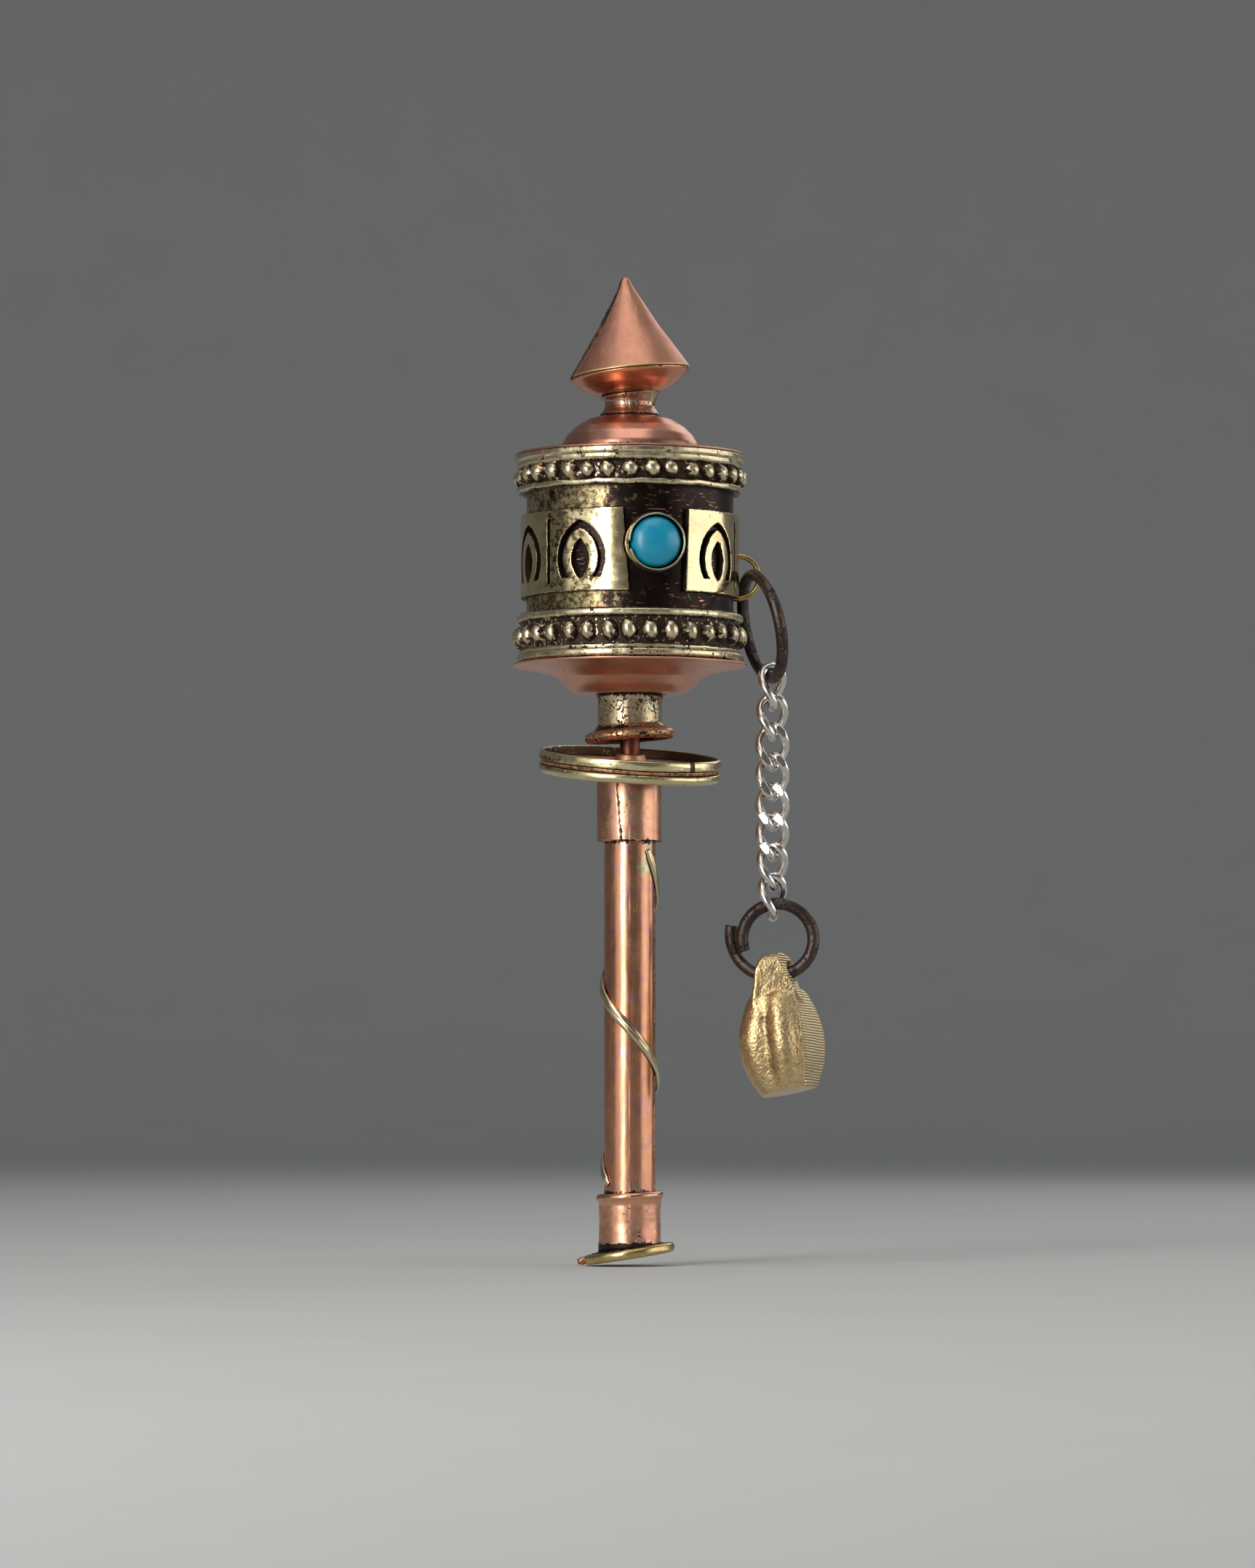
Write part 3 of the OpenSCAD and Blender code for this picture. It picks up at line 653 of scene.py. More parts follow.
def cone_marks(PH, R, Z):
    d = from_seam(PH, Z)
    outer = cone_outside(R, Z)
    line = ridge(d, 0.05, 0.045) + ridge(d, TAU - 0.7, 0.08)
    rim = smooth(74.0 - Z, 0.0, 0.14) * (R > 4.6)
    return {"edge": np.clip(np.maximum(0.8 * line * outer, rim), 0, 1)}


def on_cone(v):
    """The cone's own axis leans less than the rim that it stands on."""
    t = cone_height(v[:, 2])
    v = on_rim(v)
    v[:, 0] += TIP_SHIFT * t
    return v


turned_piece(
    "finial_cone", m_cone, "drum", "copper",
    [(4.75, 73.78), (5.06, 73.76), (5.15, 73.80), (5.12, 73.90), (4.98, 74.12), (3.98, 75.65),
     (2.9, 77.3), (1.35, 79.95), (0.62, 81.2), (0.45, 81.57), (0.25, 81.85), (0.0, TIP_Z), (0.0, 80.9),
     (2.5, 77.25), (4.5, 74.2)],
    segs=300, step=0.08, passes=1, shape=cone_shape, marks=cone_marks, post=on_cone)


def bowl_shape(PH, R, Z, C):
    R = R + 0.03 * fbm2(PH * 8 / TAU, Z * 0.5, 11)
    C = C + 0.2 * ridge(Z, 73.7, 0.1) + 0.15 * ridge(Z, 71.9, 0.12)
    return R, Z, C


turned_piece(
    "finial_bowl", m_copper, "drum", "copper",
    [(1.9, 71.9), (2.35, 71.97), (3.2, 72.25), (4.2, 72.85), (4.9, 73.5), (5.02, 73.74), (4.75, 73.76),
     (4.1, 73.2), (3.1, 72.6), (2.2, 72.3), (1.9, 72.25)],
    segs=192, step=0.1, passes=3, shape=bowl_shape, post=on_rim)


def neck_shape(PH, R, Z, C):
    R = R + 0.05 * fbm2(PH * 8 / TAU, Z * 0.5, 12)
    C = C + 0.35 * ridge(Z, 70.2, 0.1)
    Z = Z + smooth(Z, 71.4, 71.8) * R * np.sin(PH) * math.tan(math.radians(-LEAN_DEG))
    return R, Z, C


def neck_marks(PH, R, Z):
    return {"mark": 0.35 * smooth(Z, 70.6, 71.6)}


turned_piece(
    "finial_neck", m_neck, "drum", "copper",
    [(1.35, 70.17), (2.5, 70.17), (2.52, 70.25), (2.4, 70.42), (2.2, 70.68), (2.08, 71.0), (2.1, 71.3),
     (2.22, 71.55), (2.4, 71.77), (2.5, 71.94), (1.95, 71.93), (1.9, 71.8), (1.35, 71.76)],
    segs=160, step=0.06, passes=1, shape=neck_shape, marks=neck_marks)


def dome_shape(PH, R, Z, C):
    R = R + 0.03 * fbm2(PH * 8 / TAU, R * 0.5, 15)
    C = C + 0.5 * ridge(Z, 70.15, 0.08) * (R < 3) + 0.3 * ridge(R, 5.9, 0.25) * (Z < 67.4)
    return R, Z, C


turned_piece(
    "top_dome", m_dome, "drum", "copper",
    [(1.35, 69.86), (2.3, 69.84), (3.4, 69.42), (4.4, 68.76), (5.2, 67.86), (5.55, 67.0), (9.35, 66.74),
     (9.6, 66.75), (9.66, 66.84), (9.58, 66.93), (9.3, 66.94), (6.05, 67.02), (5.9, 67.12), (5.72, 67.75),
     (5.3, 68.5), (4.6, 69.2), (3.6, 69.83), (2.9, 70.06), (2.5, 70.14), (1.35, 70.15)],
    segs=220, step=0.1, passes=2, shape=dome_shape)

# ---------------------------------------------------------------- beaded bands


BEADS = 33
BEADS_IN = 8.66


def bead_layout(seed):
    """Where each bead sits round the band, its size and how far it strays up or down."""
    r = np.random.default_rng(seed)
    a = (np.arange(BEADS) + r.normal(0, 0.04, BEADS)) * TAU / BEADS
    return a, r.uniform(0.9, 1.06, BEADS), r.uniform(-0.06, 0.06, BEADS)


def bead_band(name, z0, z1, base_r, bead_z, bead_w, bead_h, bead_out, lips, seed, point):
    """A cast strip: a row of beads between wide worn lips, as one height field round the drum.

    lips are (height, half width, how far out, waviness) and point draws each bead's lower side in.
    """
    nu, nv = 1440, 104
    phi = np.linspace(0, TAU, nu, endpoint=False)
    PH, Z = np.meshgrid(phi, np.linspace(z0, z1, nv))
    w = rng_field(seed, 60)(PH, 8)
    R = base_r + 0.06 * fbm2(PH * 26, Z * 2.2, seed)
    # The lips and beads are rubbed bright: picked_out marks them, and the grime thins there.
    picked_out = np.zeros_like(R)
    for lip_z, lip_w, lip_out, waves in lips:
        near = (np.abs(Z - lip_z - waves * w) / lip_w) ** 4
        R = np.maximum(R, base_r + (lip_out + 0.03 * w) * np.exp(-near))
        picked_out = np.maximum(picked_out, smooth(np.exp(-near), 0.25, 0.8))
    for a, s, dz in zip(*bead_layout(seed)):
        d = wrapped(PH - a)
        near = np.abs(d) < 0.12
        v = (Z - bead_z - dz) / (bead_h * s)
        u = (d * (base_r + 0.2) + 0.12 * v) / (bead_w * s) * (1 + point * np.clip(-v, 0, 1))
        rr = np.where(near, u * u + v * v, 9)
        h = np.clip(1 - rr, 0, 1) ** 0.55 * bead_out * s
        R = np.where(rr < 1, np.maximum(R, base_r - 0.03 + h), R)
        picked_out = np.maximum(picked_out, smooth(1 - rr, 0.1, 0.75))
    rough = fbm2(PH * 42, Z * 4, seed + 5)
    left = smooth(-np.sin(PH), -0.1, 0.8)
    C = np.clip((0.85 - 0.25 * left) * (1 - picked_out) + rough * (1 - 0.55 * picked_out), -0.6, 1.3)
    outer = round_axis(R, PH, Z)
    rings = [round_axis(BEADS_IN, phi, np.full(nu, z)) for z in (z1, z0)]
    k = nu * nv
    u = np.arange(nu)
    u1 = (u + 1) % nu
    top_row = (nv - 1) * nu
    f = [grid_faces(nu, nv), np.c_[top_row + u, top_row + u1, k + u1, k + u],
         np.c_[k + u, k + u1, k + nu + u1, k + nu + u], np.c_[k + nu + u, k + nu + u1, u1, u]]
    cav = np.append(C.ravel(), np.full(2 * nu, 0.6))
    edge = np.append((smooth(picked_out, 0.6, 1.0) * 0.5).ravel(), np.zeros(2 * nu))
    o = new_mesh(name, np.vstack([outer] + rings), np.vstack(f), cav=cav, sharp_deg=70,
                 extra={"edge": edge, "mark": np.full(len(edge), 0.1)})
    fix_normals(o)
    return finish_piece(o, m_beads, "drum", [name])


bead_band("upper_bead_band", 63.61, 66.7, 9.13, 64.87, 0.8, 0.8, 0.74,
          [(63.86, 0.27, 0.33, 0.05), (66.1, 0.5, 0.3, 0.03), (66.5, 0.42, 0.5, 0.0)], 21, 0.45)
bead_band("lower_bead_band", 49.45, 53.5, 9.1, 51.6, 0.7, 0.92, 0.78,
          [(49.82, 0.36, 0.34, 0.0), (50.32, 0.16, 0.14, 0.03), (53.12, 0.33, 0.32, 0.0)], 22, 0.0)

# ---------------------------------------------------------------- drum wall and pierced band


def wall_shape(PH, R, Z, C):
    return R + 0.012 * fbm2(PH * 30 / TAU, Z * 1.0, 31) * (R > 8.5), Z, C


def wall_marks(PH, R, Z):
    d = wrapped(PH)
    # The mark is strong on the left side, above and below the pierced band, where the brassy patches are a
    # painted reflection; the faint mark all round stands for scouring.
    left = smooth(-d, math.radians(-4), math.radians(22)) * smooth(math.pi - np.abs(d), 0.15, 1.0)
    edges = np.maximum(smooth(55.2 - Z, 0, 0.3), smooth(Z, 61.5, 61.9))
    return {"mark": 0.6 * left * edges + 0.1 * edges}


turned_piece(
    "drum_wall", m_wall, "drum", "patina",
    [(8.3, 49.45), (8.63, 49.45), (8.63, 66.65), (8.3, 66.65)],
    segs=360, step=0.3, passes=0, shape=wall_shape, marks=wall_marks, sharp=50)


def sd_circle(u, v, x, y, r):
    return np.hypot(u - x, v - y) - r


def sd_box(u, v, x, y, hw, hh):
    a, b = np.abs(u - x) - hw, np.abs(v - y) - hh
    return np.hypot(np.maximum(a, 0), np.maximum(b, 0)) + np.minimum(np.maximum(a, b), 0)


def sd_leaf(u, v, y, side, r):
    """A pointed leaf: where two circles overlap, each one drawn the same way off the middle."""
    return np.maximum(sd_circle(u, v, side, y, r), sd_circle(u, v, -side, y, r))


def petal_field(u, v):
    """Distance to one repeat of the pierced pattern, negative inside its openings."""
    arch = np.maximum(sd_leaf(u, v, -0.65, 1.08, 3.28), -sd_leaf(u, v, -0.65, 1.08, 2.73))
    arch = np.maximum(arch, -2.25 - v)
    return np.minimum(arch, sd_leaf(u, v, -0.75, 1.3, 2.1))


EYE_X, EYE_Z, EYE_R = 8.974, 56.65, 1.79
BAND_LOW, BAND_HIGH = 54.85, 61.7
BAND_OUT, SHEET_IN = 9.12, 8.665
BAND_MID = (BAND_LOW + BAND_HIGH) / 2
PETALS = [53, 132, 172, 212, 252, 292, 333]
BARS = [73, 109, 152, 192, 232, 272, 312.5]
STONE_TURN, STONE_Z = 13.0, 58.8


def band_field(turn, z):
    """Positive where the band has metal: turn in degrees round from the front to the right."""
    edge_r = turn - (31 + 0.25 * (z - BAND_MID))
    edge_l = 358 - 0.45 * (z - BAND_MID) - turn
    arc = BAND_OUT * math.pi / 180
    f = np.minimum(edge_r * arc, edge_l * arc)
    f = np.minimum(f, np.minimum(z - BAND_LOW, BAND_HIGH - z))
    wob = 0.05 * fbm2(turn * 0.45, z * 2.6, 41) + 0.02 * fbm2(turn * 1.6, z * 9, 43)
    for t in PETALS:
        u = (turn - t) * arc
        near = np.abs(u) < 3.4
        d = petal_field(np.where(near, u, 0), z - BAND_MID) + wob
        f = np.where(near, np.minimum(f, d), f)
    for t in BARS:
        u = (turn - t) * arc
        d = sd_box(u, z, 0, BAND_MID, 0.15, 2.7) + wob * 0.6
        f = np.minimum(f, d)
    for s in (-1, 1):
        f = np.minimum(f, np.hypot((turn - 90) * arc, z - EYE_Z - s * EYE_R) - 0.24)
    for t in (STONE_TURN, 360 + STONE_TURN):
        f = np.minimum(f, np.hypot(8.9 * np.radians(turn - t), z - STONE_Z) - 2.56)
    return f


def marching_band():
    """Cuts the band's outline and openings out of a grid, and keeps the cut edges, along which make_band
    gives the sheet its thickness.
    """
    nt, nz = 1500, 118
    turns = np.linspace(29.5, 359.5, nt)
    zs = np.linspace(BAND_LOW - 0.03, BAND_HIGH + 0.03, nz)
    T, Z = np.meshgrid(turns, zs)
    F = band_field(T, Z)
    inside = F > 0
    ids = -np.ones(F.shape, int)
    sel = np.argwhere(inside)
    ids[inside] = np.arange(len(sel))
    pts = [(T[i, j], Z[i, j]) for i, j in sel]
    vals = list(F[inside])
    cut = {}

    def crossing(a, b):
        key = (a, b) if a < b else (b, a)
        if key not in cut:
            fa, fb = F[a], F[b]
            t = fa / (fa - fb)
            pts.append((T[a] + (T[b] - T[a]) * t, Z[a] + (Z[b] - Z[a]) * t))
            vals.append(0.0)
            cut[key] = len(pts) - 1
        return cut[key]

    c = inside[:-1, :-1].astype(int) + inside[:-1, 1:] + inside[1:, 1:] + inside[1:, :-1]
    faces, rims = [], []
    for i, j in np.argwhere(c == 4):
        faces.append((ids[i, j], ids[i, j + 1], ids[i + 1, j + 1], ids[i + 1, j]))
    for i, j in np.argwhere((c > 0) & (c < 4)):
        ring = [(i, j), (i, j + 1), (i + 1, j + 1), (i + 1, j)]
        poly, marks = [], []
        for k in range(4):
            a, b = ring[k], ring[(k + 1) % 4]
            if inside[a]:
                poly.append(ids[a])
                marks.append(False)
            if inside[a] != inside[b]:
                poly.append(crossing(a, b))
                marks.append(True)
        if len(poly) >= 3:
            faces.append(tuple(poly))
            for k in range(len(poly)):
                n = (k + 1) % len(poly)
                if marks[k] and marks[n]:
                    rims.append((poly[k], poly[n]))
    P = np.array(pts)
    V = np.array(vals)
    return P, V, faces, rims


def make_band():
    P, V, faces, rims = marching_band()
    n = len(P)
    a = np.radians(P[:, 0])
    edge = np.exp(-np.clip(V, 0, 1) / 0.06)
    R = BAND_OUT - 0.035 * edge + 0.012 * fbm2(P[:, 0] * 0.12, P[:, 1] * 0.5, 51)
    outer = round_axis(R, a, P[:, 1])
    rim_ids = sorted({i for r in rims for i in r})
    at = {i: k for k, i in enumerate(rim_ids)}
    top = outer[rim_ids]
    bottom = round_axis(SHEET_IN, a[rim_ids], P[rim_ids, 1])
    inner = round_axis(SHEET_IN, a, P[:, 1])
    m = len(rim_ids)
    verts = np.vstack([outer, top, bottom, inner])
    fs = list(faces)
    for i, j in rims:
        fs.append((n + at[j], n + at[i], n + m + at[i], n + m + at[j]))
    base = n + 2 * m
    fs += [tuple(base + k for k in reversed(f)) for f in faces]
    C = np.concatenate([0.6 * edge, np.full(m, 0.8), np.full(m, 1.0), np.full(n, 0.5)])
    turn = (P[:, 0] + 180) % 360 - 180
    # Dark patches on the band's front left: scratches, with a painted reflection.
    picked_out = smooth(-turn, 10, 22) * smooth(turn, -56, -44)
    M = np.concatenate([0.3 * picked_out, np.zeros(2 * m + n)])
    o = new_mesh("pierced_band", verts, fs, cav=C, extra={"mark": M})
    fix_normals(o)
    return finish_piece(o, m_band, "drum", ["pierced_band"])


make_band()

# ---------------------------------------------------------------- stone and its setting

STONE_M = rot_z(STONE_TURN - 90) @ rot_y(90)


def on_stone(v):
    """From the setting's own frame, with its axis along Z, to the drum."""
    return v @ np.array(STONE_M).T + np.array([0, 0, STONE_Z])


def bezel_shape(PH, R, Z, C):
    low = np.sqrt(np.clip(SHEET_IN ** 2 - (R * np.cos(PH)) ** 2, 0, None))
    Z = np.where(Z < 8.8, np.minimum(low, 8.66), Z)
    rim = smooth(Z, 9.4, 9.9)
    Z = Z + rim * 0.07 * fbm2(PH * 14 / TAU, 0 * Z, 61)
    d = np.abs(wrapped(PH - GAP_AT))
    Z = Z - rim * 0.5 * smooth(0.16 - d, 0.0, 0.07)
    R = R - rim * 0.1 + 0.03 * fbm2(PH * 10 / TAU, Z, 62)
    C = C + 0.7 * (R < 2.33) * smooth(9.9 - Z, 0, 0.3) + 0.5 * smooth(9.0 - Z, 0, 0.3)
    return R, Z, C


GAP_AT = math.radians(8)
turned_piece(
    "bezel", m_bezel, "drum", "white_brass",
    [(2.28, 8.7), (2.5, 8.6), (2.5, 9.9), (2.46, 9.95), (2.36, 9.95), (2.32, 9.88), (2.28, 9.1),
     (0.2, 9.05), (0.2, 8.72)],
    segs=200, step=0.07, passes=1, shape=bezel_shape, post=on_stone)


def stone_mesh():
    nu, nv = 140, 40
    phi = np.linspace(0, TAU, nu, endpoint=False)
    t = np.linspace(0, 1, nv)
    prof = []
    for k in t:
        if k < 0.25:
            prof.append((2.11, 9.05 + 0.35 * k / 0.25))
        else:
            a = (k - 0.25) / 0.75 * math.pi / 2
            prof.append((2.11 * math.cos(a), 9.4 + 1.09 * math.sin(a)))
    p = np.array(prof)
    PH, R = np.meshgrid(phi, p[:, 0])
    _, Z = np.meshgrid(phi, p[:, 1])
    X, Y = R * np.sin(PH), R * np.cos(PH)
    n = fbm2(X * 0.7 + 5, Y * 0.7 + 9, 71, 3)
    R = R * (1 - 0.03 * np.abs(fbm2(PH * 9 / TAU, Z * 0.5, 72)))
    Z = Z - 0.05 * np.abs(n) * (Z > 9.45)
    v = round_axis(R, PH, Z)
    v = np.vstack([v, [0, 0, 9.05]])
    f = [tuple(q) for q in grid_faces(nu, nv)]
    f += [((k + 1) % nu, k, nu * nv) for k in range(nu)]
    o = new_mesh("turquoise_stone", on_stone(v), f)
    fix_normals(o)
    return o


g = Nodes("turquoise")
broad = g.noise(420, 5, 0.6)
col = g.mix(g.rise(broad, 0.3, 0.7), srgb(0, 132, 164), srgb(16, 148, 176))
veins = g.ramp(g.voronoi(1500), [(0.02, 1.0), (0.07, 0.0)])
veins = g.mix(g.rise(g.noise(900, 3), 0.5, 0.56), (0, 0, 0), veins)
col = g.mix(veins, col, srgb(10, 52, 74))
patch = g.rise(g.noise(700, 4, 0.6), 0.62, 0.72)
col = g.mix(patch, col, srgb(72, 142, 162))
g.feed("Base Color", col)
g.feed("Roughness", g.ramp(g.noise(1100, 5, 0.6), [(0.3, 0.24), (0.7, 0.42)]))
g.bsdf.inputs["Coat Weight"].default_value = 0.25
g.bsdf.inputs["Coat Roughness"].default_value = 0.15
g.feed("Normal", g.bump(g.noise(1300, 5, 0.6), 0.25, 0.00004, g.bump(veins, 0.3, 0.00003)))
m_stone = g.mat
stone = stone_mesh()
finish_piece(stone, m_stone, "drum", ["turquoise_stone"])

# ---------------------------------------------------------------- eye, lower plate, collar

# A wire staple: an arch out of the drum's side and two short legs into its wall.
th = np.radians(np.linspace(-90, 90, 48))
arch = np.c_[EYE_X + EYE_R * np.cos(th), 0 * th, EYE_Z + EYE_R * np.sin(th)]
leg_x = np.linspace(7.95, 8.9, 8)
leg_a, leg_b = (np.c_[leg_x, 0 * leg_x, 0 * leg_x + z] for z in (EYE_Z - EYE_R, EYE_Z + EYE_R))
eye = sweep("eye_loop", np.vstack([leg_a, arch, leg_b[::-1]]), circle_section(0.21, 20), closed=False,
            ref=lambda p: p - np.array([8.2, 0, EYE_Z]))
finish_piece(eye, m_eye, "drum", ["eye_loop"])


def plate_shape(PH, R, Z, C):
    Z = Z + 0.03 * fbm2(PH * 14 / TAU, R * 0.2, 81) * (R > 8.5)
    R = R + 0.03 * fbm2(PH * 8 / TAU, Z * 0.5, 82)
    C = C + 0.35 * ridge(R, 2.9, 0.25)
    return R, Z, C


turned_piece(
    "bottom_plate", m_plate, "drum", "copper",
    [(1.35, 46.86), (4.2, 46.86), (4.75, 47.02), (5.3, 47.45), (6.0, 48.2), (6.7, 48.6), (8.4, 48.95),
     (9.6, 49.16), (9.8, 49.26), (9.8, 49.34), (9.68, 49.41), (8.2, 49.4), (8.2, 49.25), (6.6, 48.95),
     (5.75, 48.55), (5.1, 47.8), (4.6, 47.36), (4.1, 47.2), (1.35, 47.2)],
    segs=240, step=0.09, passes=2, shape=plate_shape)


def collar_shape(PH, R, Z, C):
    k = smooth(44.6 - Z, 0, 0.5)
    x = R * np.sin(PH)
    Z = Z + k * x * math.sin(math.radians(4)) + k * 0.04 * fbm2(PH * 12 / TAU, R, 91)
    R = R + 0.05 * fbm2(PH * 10 / TAU, Z * 0.9, 92) * (R > 2.4)
    C = C + 0.3 * smooth(44.3 - Z, 0, 0.3) * (R < 3.2) + 0.25 * ridge(Z, 46.8, 0.15)
    return R, Z, C


def collar_marks(PH, R, Z):
    under = smooth(43.4 - Z, 0.0, 0.25)
    return {"mark": 0.3 * smooth(Z, 44.4, 45.6),
            "edge": np.maximum(under, 0.5 * smooth(44.2 - Z, 0, 0.3))}


turned_piece(
    "bottom_collar", m_collar, "drum", "copper",
    [(2.28, 43.1), (3.2, 42.98), (3.55, 43.02), (3.74, 43.25), (3.75, 43.5), (3.62, 43.75), (3.3, 43.9),
     (2.95, 44.02), (2.72, 44.35), (2.66, 44.9), (2.68, 46.3), (2.78, 46.8), (2.28, 46.83)],
    segs=200, step=0.07, passes=2, shape=collar_shape, marks=collar_marks)

# ---------------------------------------------------------------- guard

GUARD_M = rot_y(3.7) @ rot_x(7.5)
GUARD_AT = np.array([0, 0, 40.95])


def on_guard(v):
    return v @ np.array(GUARD_M).T + GUARD_AT


def guard_wave(seed, amp, notch=None):
    def f(PH, R, Z, C):
        R = R + amp * fbm2(PH * 26 / TAU, Z * 2, seed) * (R > 6.5)
        Z = Z + 0.5 * amp * fbm2(PH * 20 / TAU, R, seed + 1)
        if notch is not None:
            d = np.abs(wrapped(PH - notch))
            R = R - 0.14 * smooth(0.025 - d, 0, 0.01) * (R > 7.3)
            C = C + 0.9 * smooth(0.03 - d, 0, 0.012)
        C = C + 0.5 * smooth(7.35 - R, 0, 0.15) * (R > 6.6)
        seams = ridge(Z, 0.16, 0.06) + ridge(Z, -0.22, 0.06)
        C = C + (0.45 * seams + 0.5 * ridge(Z, -0.03, 0.1)) * (R > 7.3)
        return R, Z, C
    return f


def guard_marks(PH, R, Z):
    """Copper-brown stain on the left, along the groove, and in a few worn places."""
    left = smooth(-np.sin(PH), 0.55, 0.95) * smooth(0.7 - np.abs(Z - 0.1), 0, 0.4)
    groove = ridge(Z, -0.02, 0.28)
    return {"mark": np.clip(0.4 * left + 0.3 * groove, 0, 1)}


turned_piece(
    "guard_plate", m_guard_plate, "handle", "copper",
    [(0.9, -0.19), (7.38, -0.19), (7.45, -0.1), (7.45, 0.04), (7.4, 0.14), (1.65, 0.14), (1.35, 0.45),
     (1.15, 1.0), (0.9, 1.02)],
    segs=220, step=0.1, passes=1, shape=guard_wave(101, 0.05), post=on_guard)
turned_piece(
    "guard_upper_rim", m_guard, "handle", "white_brass",
    [(7.16, 0.16), (7.54, 0.16), (7.58, 0.25), (7.59, 0.6), (7.54, 0.88), (7.42, 0.98), (7.28, 0.96),
     (7.17, 0.85)],
    segs=300, step=0.06, passes=2, shape=guard_wave(102, 0.05, math.radians(43.25)), marks=guard_marks,
    post=on_guard)
turned_piece(
    "guard_lower_rim", m_guard, "handle", "brass",
    [(6.83, -0.21), (7.46, -0.21), (7.57, -0.38), (7.59, -0.62), (7.5, -0.86), (7.28, -0.98),
     (7.02, -0.94), (6.83, -0.72)],
    segs=300, step=0.06, passes=3, shape=guard_wave(103, 0.05), marks=guard_marks, post=on_guard)

# ---------------------------------------------------------------- handle


def from_ferrule_seam(PH, Z):
    return wrapped(PH - (math.radians(-18) - 0.03 * (Z - 36)))


def ferrule_shape(PH, R, Z, C):
    d = from_ferrule_seam(PH, Z)
    outer = R > 2.4
    lap = smooth(-d, 0.0, 0.03) * smooth(d, -math.pi * 0.83, -math.pi * 0.8)
    R = R + np.where(outer, 0.12 * lap + 0.025 * fbm2(PH * 9 / TAU, Z * 0.8, 111), 0)
    C = C + np.where(outer, 0.3 * ridge(d, 0.02, 0.018), 0)
    C = C + 0.3 * smooth(34.75 - Z, 0, 0.15)
    plate_under = 40.74 + R * np.sin(PH) * -0.0647 + R * np.cos(PH) * -0.13
    Z = np.where(Z > 39.8, np.minimum(Z, plate_under - 0.01), Z)
    return R, Z, C


def ferrule_marks(PH, R, Z):
    """Silvery solder smeared over the front, to the right of the seam."""
    d = from_ferrule_seam(PH, Z)
    front = smooth(d, 0.0, 0.06) * smooth(math.radians(48) - d, 0, 0.35)
    line = ridge(d, -0.035, 0.02) * (R > 2.4)
    return {"mark": 0.24 * front * (R > 2.4), "edge": line}


turned_piece(
    "top_ferrule", m_ferrule, "handle", "copper",
    [(2.17, 34.56), (2.58, 34.56), (2.62, 34.62), (2.62, 41.5), (0.9, 41.5), (0.9, 38.65), (2.17, 38.65)],
    segs=300, step=0.1, passes=0, shape=ferrule_shape, marks=ferrule_marks, sharp=50)


def above_foot(R, PH, z):
    return z / math.cos(math.radians(9)) + R * np.sin(PH) * math.tan(math.radians(9))


def tube_shape(PH, R, Z, C):
    Z = np.where(Z < 1.5, above_foot(R, PH, 0.81) + 0 * Z, Z)
    seam = math.radians(72)
    d = wrapped(PH - seam)
    R = R + np.where(R > 2.0, 0.018 * fbm2(PH * 7 / TAU, Z * 0.35, 121) - 0.05 * ridge(d, 0, 0.03), 0)
    C = C + np.where(R > 2.0, 0.6 * ridge(d, 0, 0.035), 0)
    C = C + 0.4 * smooth(Z, 34.1, 34.5) + 0.35 * smooth(5.9 - Z, 0, 0.4)
    return R, Z, C


def tube_marks(PH, R, Z):
    """A patch of solder under the top ferrule on the right, and a fainter one on the left."""
    d = wrapped(PH)
    right = smooth(d, 0.12, 0.3) * smooth(1.25 - d, 0, 0.25) * smooth(Z, 31.5, 31.9)
    left = smooth(-d, 0.75, 1.0) * smooth(1.5 - np.abs(Z - 32.6), 0, 0.8)
    low = smooth(Z, 5.0, 5.4) * smooth(6.6 - Z, 0, 0.7) * smooth(0.5 - np.abs(d - 0.1), 0, 0.3)
    return {"mark": (0.3 * right + 0.2 * left + 0.22 * low) * (R > 2.0)}


turned_piece(
    "handle_tube", m_tube, "handle", "copper",
    [(1.84, 0.9), (2.14, 0.9), (2.14, 38.58), (1.84, 38.58)],
    segs=220, step=0.2, passes=0, shape=tube_shape, marks=tube_marks, sharp=50)


def foot_ferrule_shape(PH, R, Z, C):
    Z = np.where(Z < 1.0, above_foot(R, PH, 0.81) + 0 * Z, Z)
    k = smooth(Z, 4.2, 5.1)
    Z = Z + k * R * np.sin(PH) * math.sin(math.radians(3.0)) + k * 0.03 * fbm2(PH * 9 / TAU, R, 131)
    R = R + np.where(R > 2.3, 0.04 * fbm2(PH * 9 / TAU, Z * 0.8, 132), 0)
    C = C + 0.7 * smooth(1.5 - Z, 0, 0.6) + 0.5 * smooth(2.4 - R, 0, 0.1) * (Z > 5)
    return R, Z, C


turned_piece(
    "bottom_ferrule", m_ferrule, "handle", "copper",
    [(2.17, 0.85), (2.62, 0.85), (2.58, 1.4), (2.54, 3.0), (2.58, 4.5), (2.66, 4.86), (2.78, 5.0),
     (2.79, 5.2), (2.68, 5.4), (2.5, 5.44), (2.3, 5.4), (2.17, 5.2)],
    segs=200, step=0.08, passes=2, shape=foot_ferrule_shape)

FOOT_M = rot_y(-9)


def foot_shape(PH, R, Z, C):
    edge = smooth(R, 3.2, 3.6)
    R = R + 0.05 * fbm2(PH * 12 / TAU, Z, 141) * edge
    crust = smooth(3.3 - R, 0, 0.5) * smooth(R, 2.2, 2.5) * (Z > 0.7)
    Z = Z + crust * 0.16 * np.clip(fbm2(PH * 16, R * 3, 143) + 0.25, 0, 1)
    C = C + 0.8 * smooth(3.25 - R, 0, 0.3) * (Z > 0.5)
    return R, Z, C


def foot_marks(PH, R, Z):
    return {"mark": 0.5 * smooth(3.3 - R, 0, 0.4) * (Z > 0.7)}


